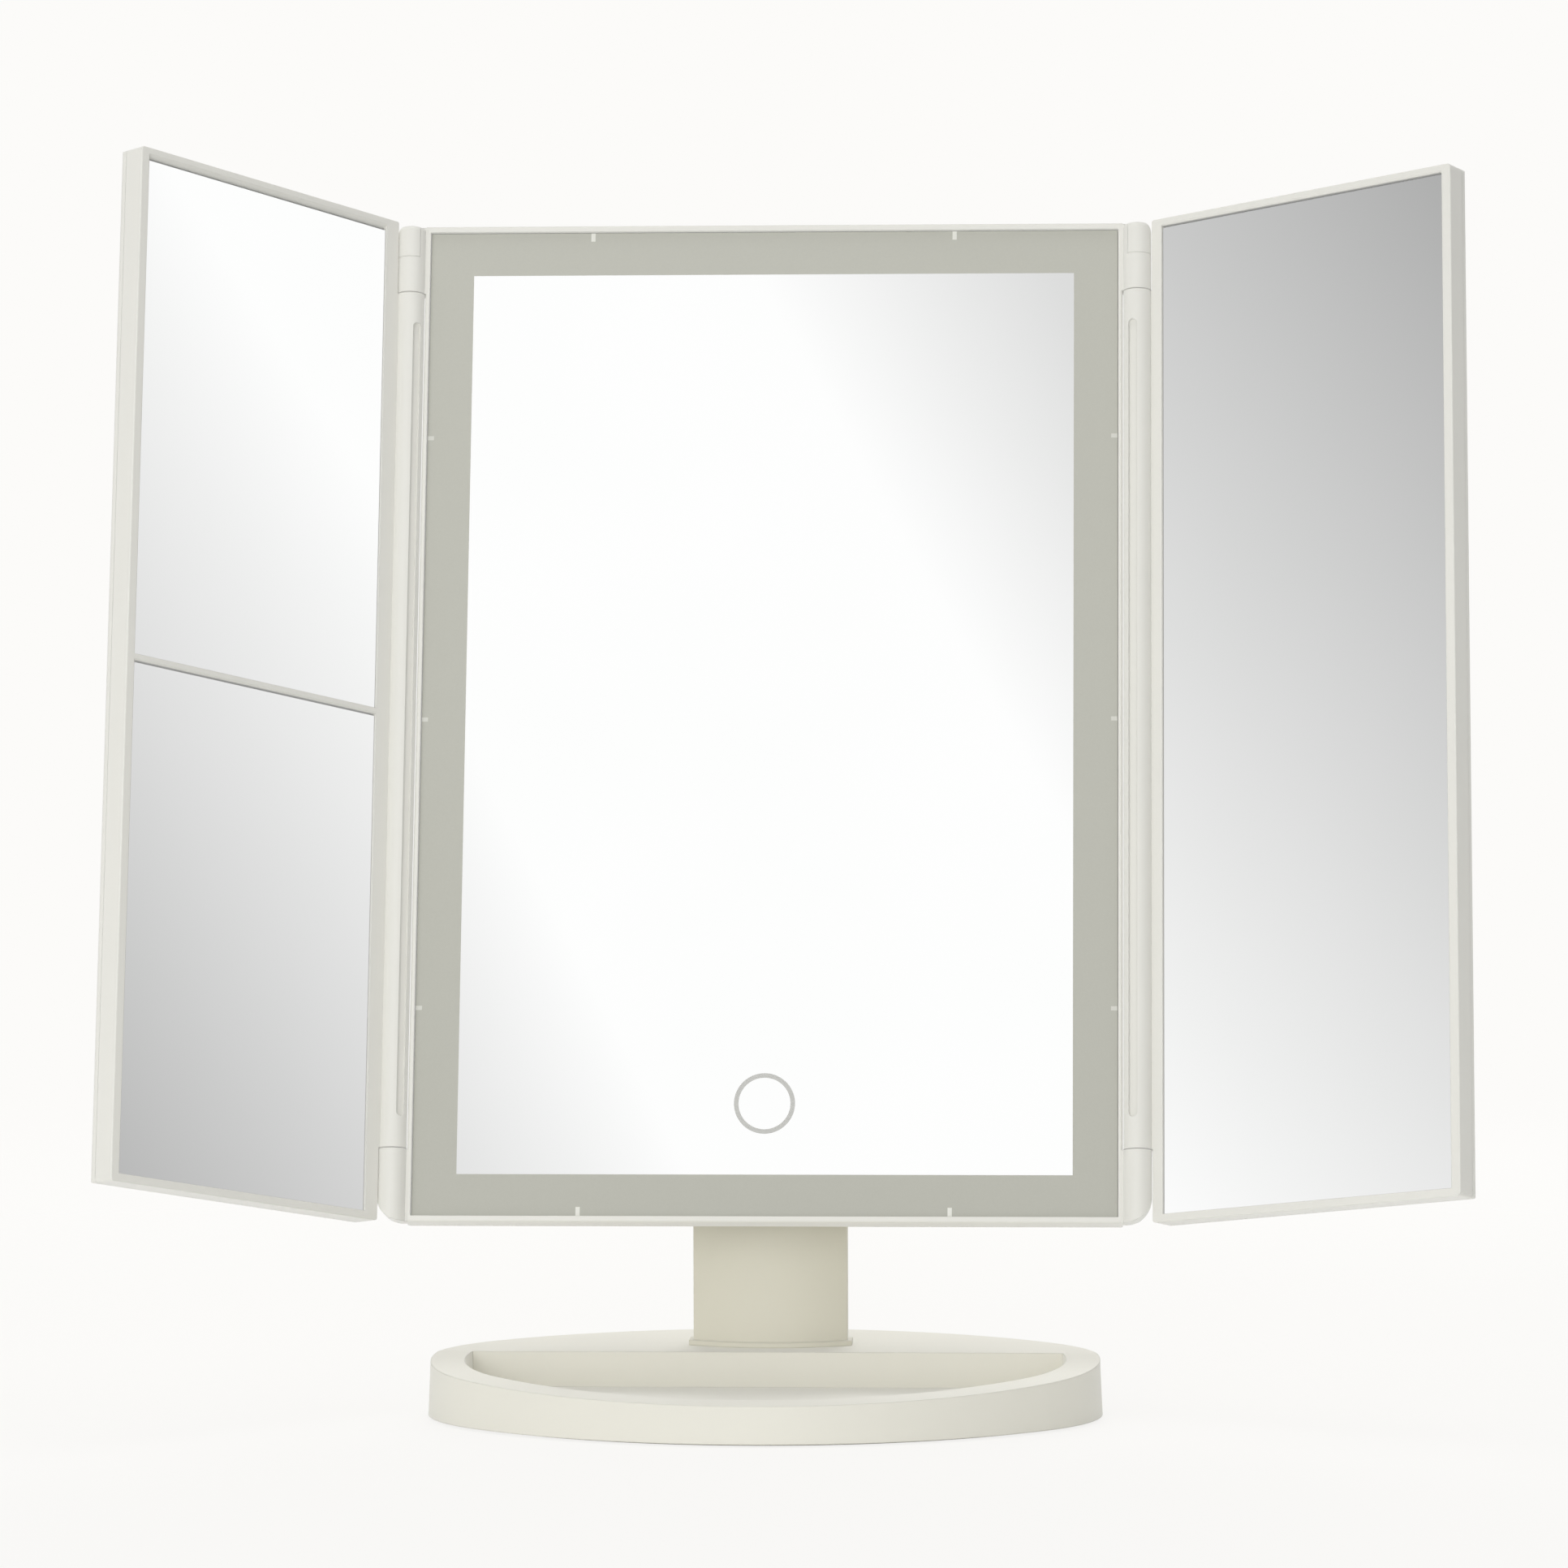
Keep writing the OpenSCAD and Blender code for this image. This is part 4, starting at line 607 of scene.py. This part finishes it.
# ---- Wing mirrors and their foam ----
# Flat silvered float glass cut to the frames' openings, two sheets on the left and one on the
# right, bedded on adhesive foam. The front takes the silver, and the cut edges show dark.
left_fold, right_fold = math.radians(50.5), math.radians(-33.5)
weld_m = 0.000002
flat_within = math.radians(1)
facing_over = 0.99
for name, body, fold in (
    ("left_upper_mirror", "left_wing", left_fold),
    ("left_lower_mirror", "left_wing", left_fold),
    ("right_mirror", "right_wing", right_fold),
):
    leaned = Matrix.Rotation(panel_tilt, 3, "X") @ Matrix.Rotation(fold, 3, "Z")
    facing = leaned @ Vector((0, -1, 0))
    cut = bmesh.new()
    cut.from_mesh(nodes[name].data)
    bmesh.ops.remove_doubles(cut, verts=cut.verts, dist=weld_m)
    bmesh.ops.dissolve_limit(cut, angle_limit=flat_within, verts=cut.verts, edges=cut.edges)
    for face in cut.faces:
        face.material_index = 0 if face.normal.dot(facing) > facing_over else 1
    cut_mesh = bpy.data.meshes.new(name + "_sheet")
    cut.to_mesh(cut_mesh)
    cut.free()
    cut_mesh.materials.append(silvered)
    cut_mesh.materials.append(glass_edge)
    sheet = bpy.data.objects.new(name + "_sheet", cut_mesh)
    bpy.context.scene.collection.objects.link(sheet)
    sheet.visible_glossy = False
    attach(sheet, body)
    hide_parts(name)

soft_foam, tree, place = begin("adhesive_polyethylene_foam")
# The real cells are about 0.3 mm, drawn at 0.7 mm so that they show in a render.
bubbles = add(tree, "ShaderNodeTexVoronoi", {"Scale": 1000 / 0.7}, [("Vector", place, "Object")])
foam_tint = add(tree, "ShaderNodeMix", {"data_type": "RGBA", 6: linear("#8E8E86"), 7: linear("#A6A69E")},
                [(0, bubbles, "Distance")])
foam_skin = add(tree, "ShaderNodeMapRange", {"To Min": 0.95, "To Max": 0.8}, [("Value", bubbles, "Distance")])
foam_bump = add(tree, "ShaderNodeBump", {"Strength": 0.4, "Distance": 0.0001},
                [("Height", bubbles, "Distance")])
close(tree, add(tree, "ShaderNodeBsdfPrincipled", {"IOR": 1.49},
                [("Base Color", foam_tint, 2), ("Roughness", foam_skin, 0), ("Normal", foam_bump, 0)]))
for name in ("left_foam_pads", "right_foam_pad"):
    finish_node(name, soft_foam)
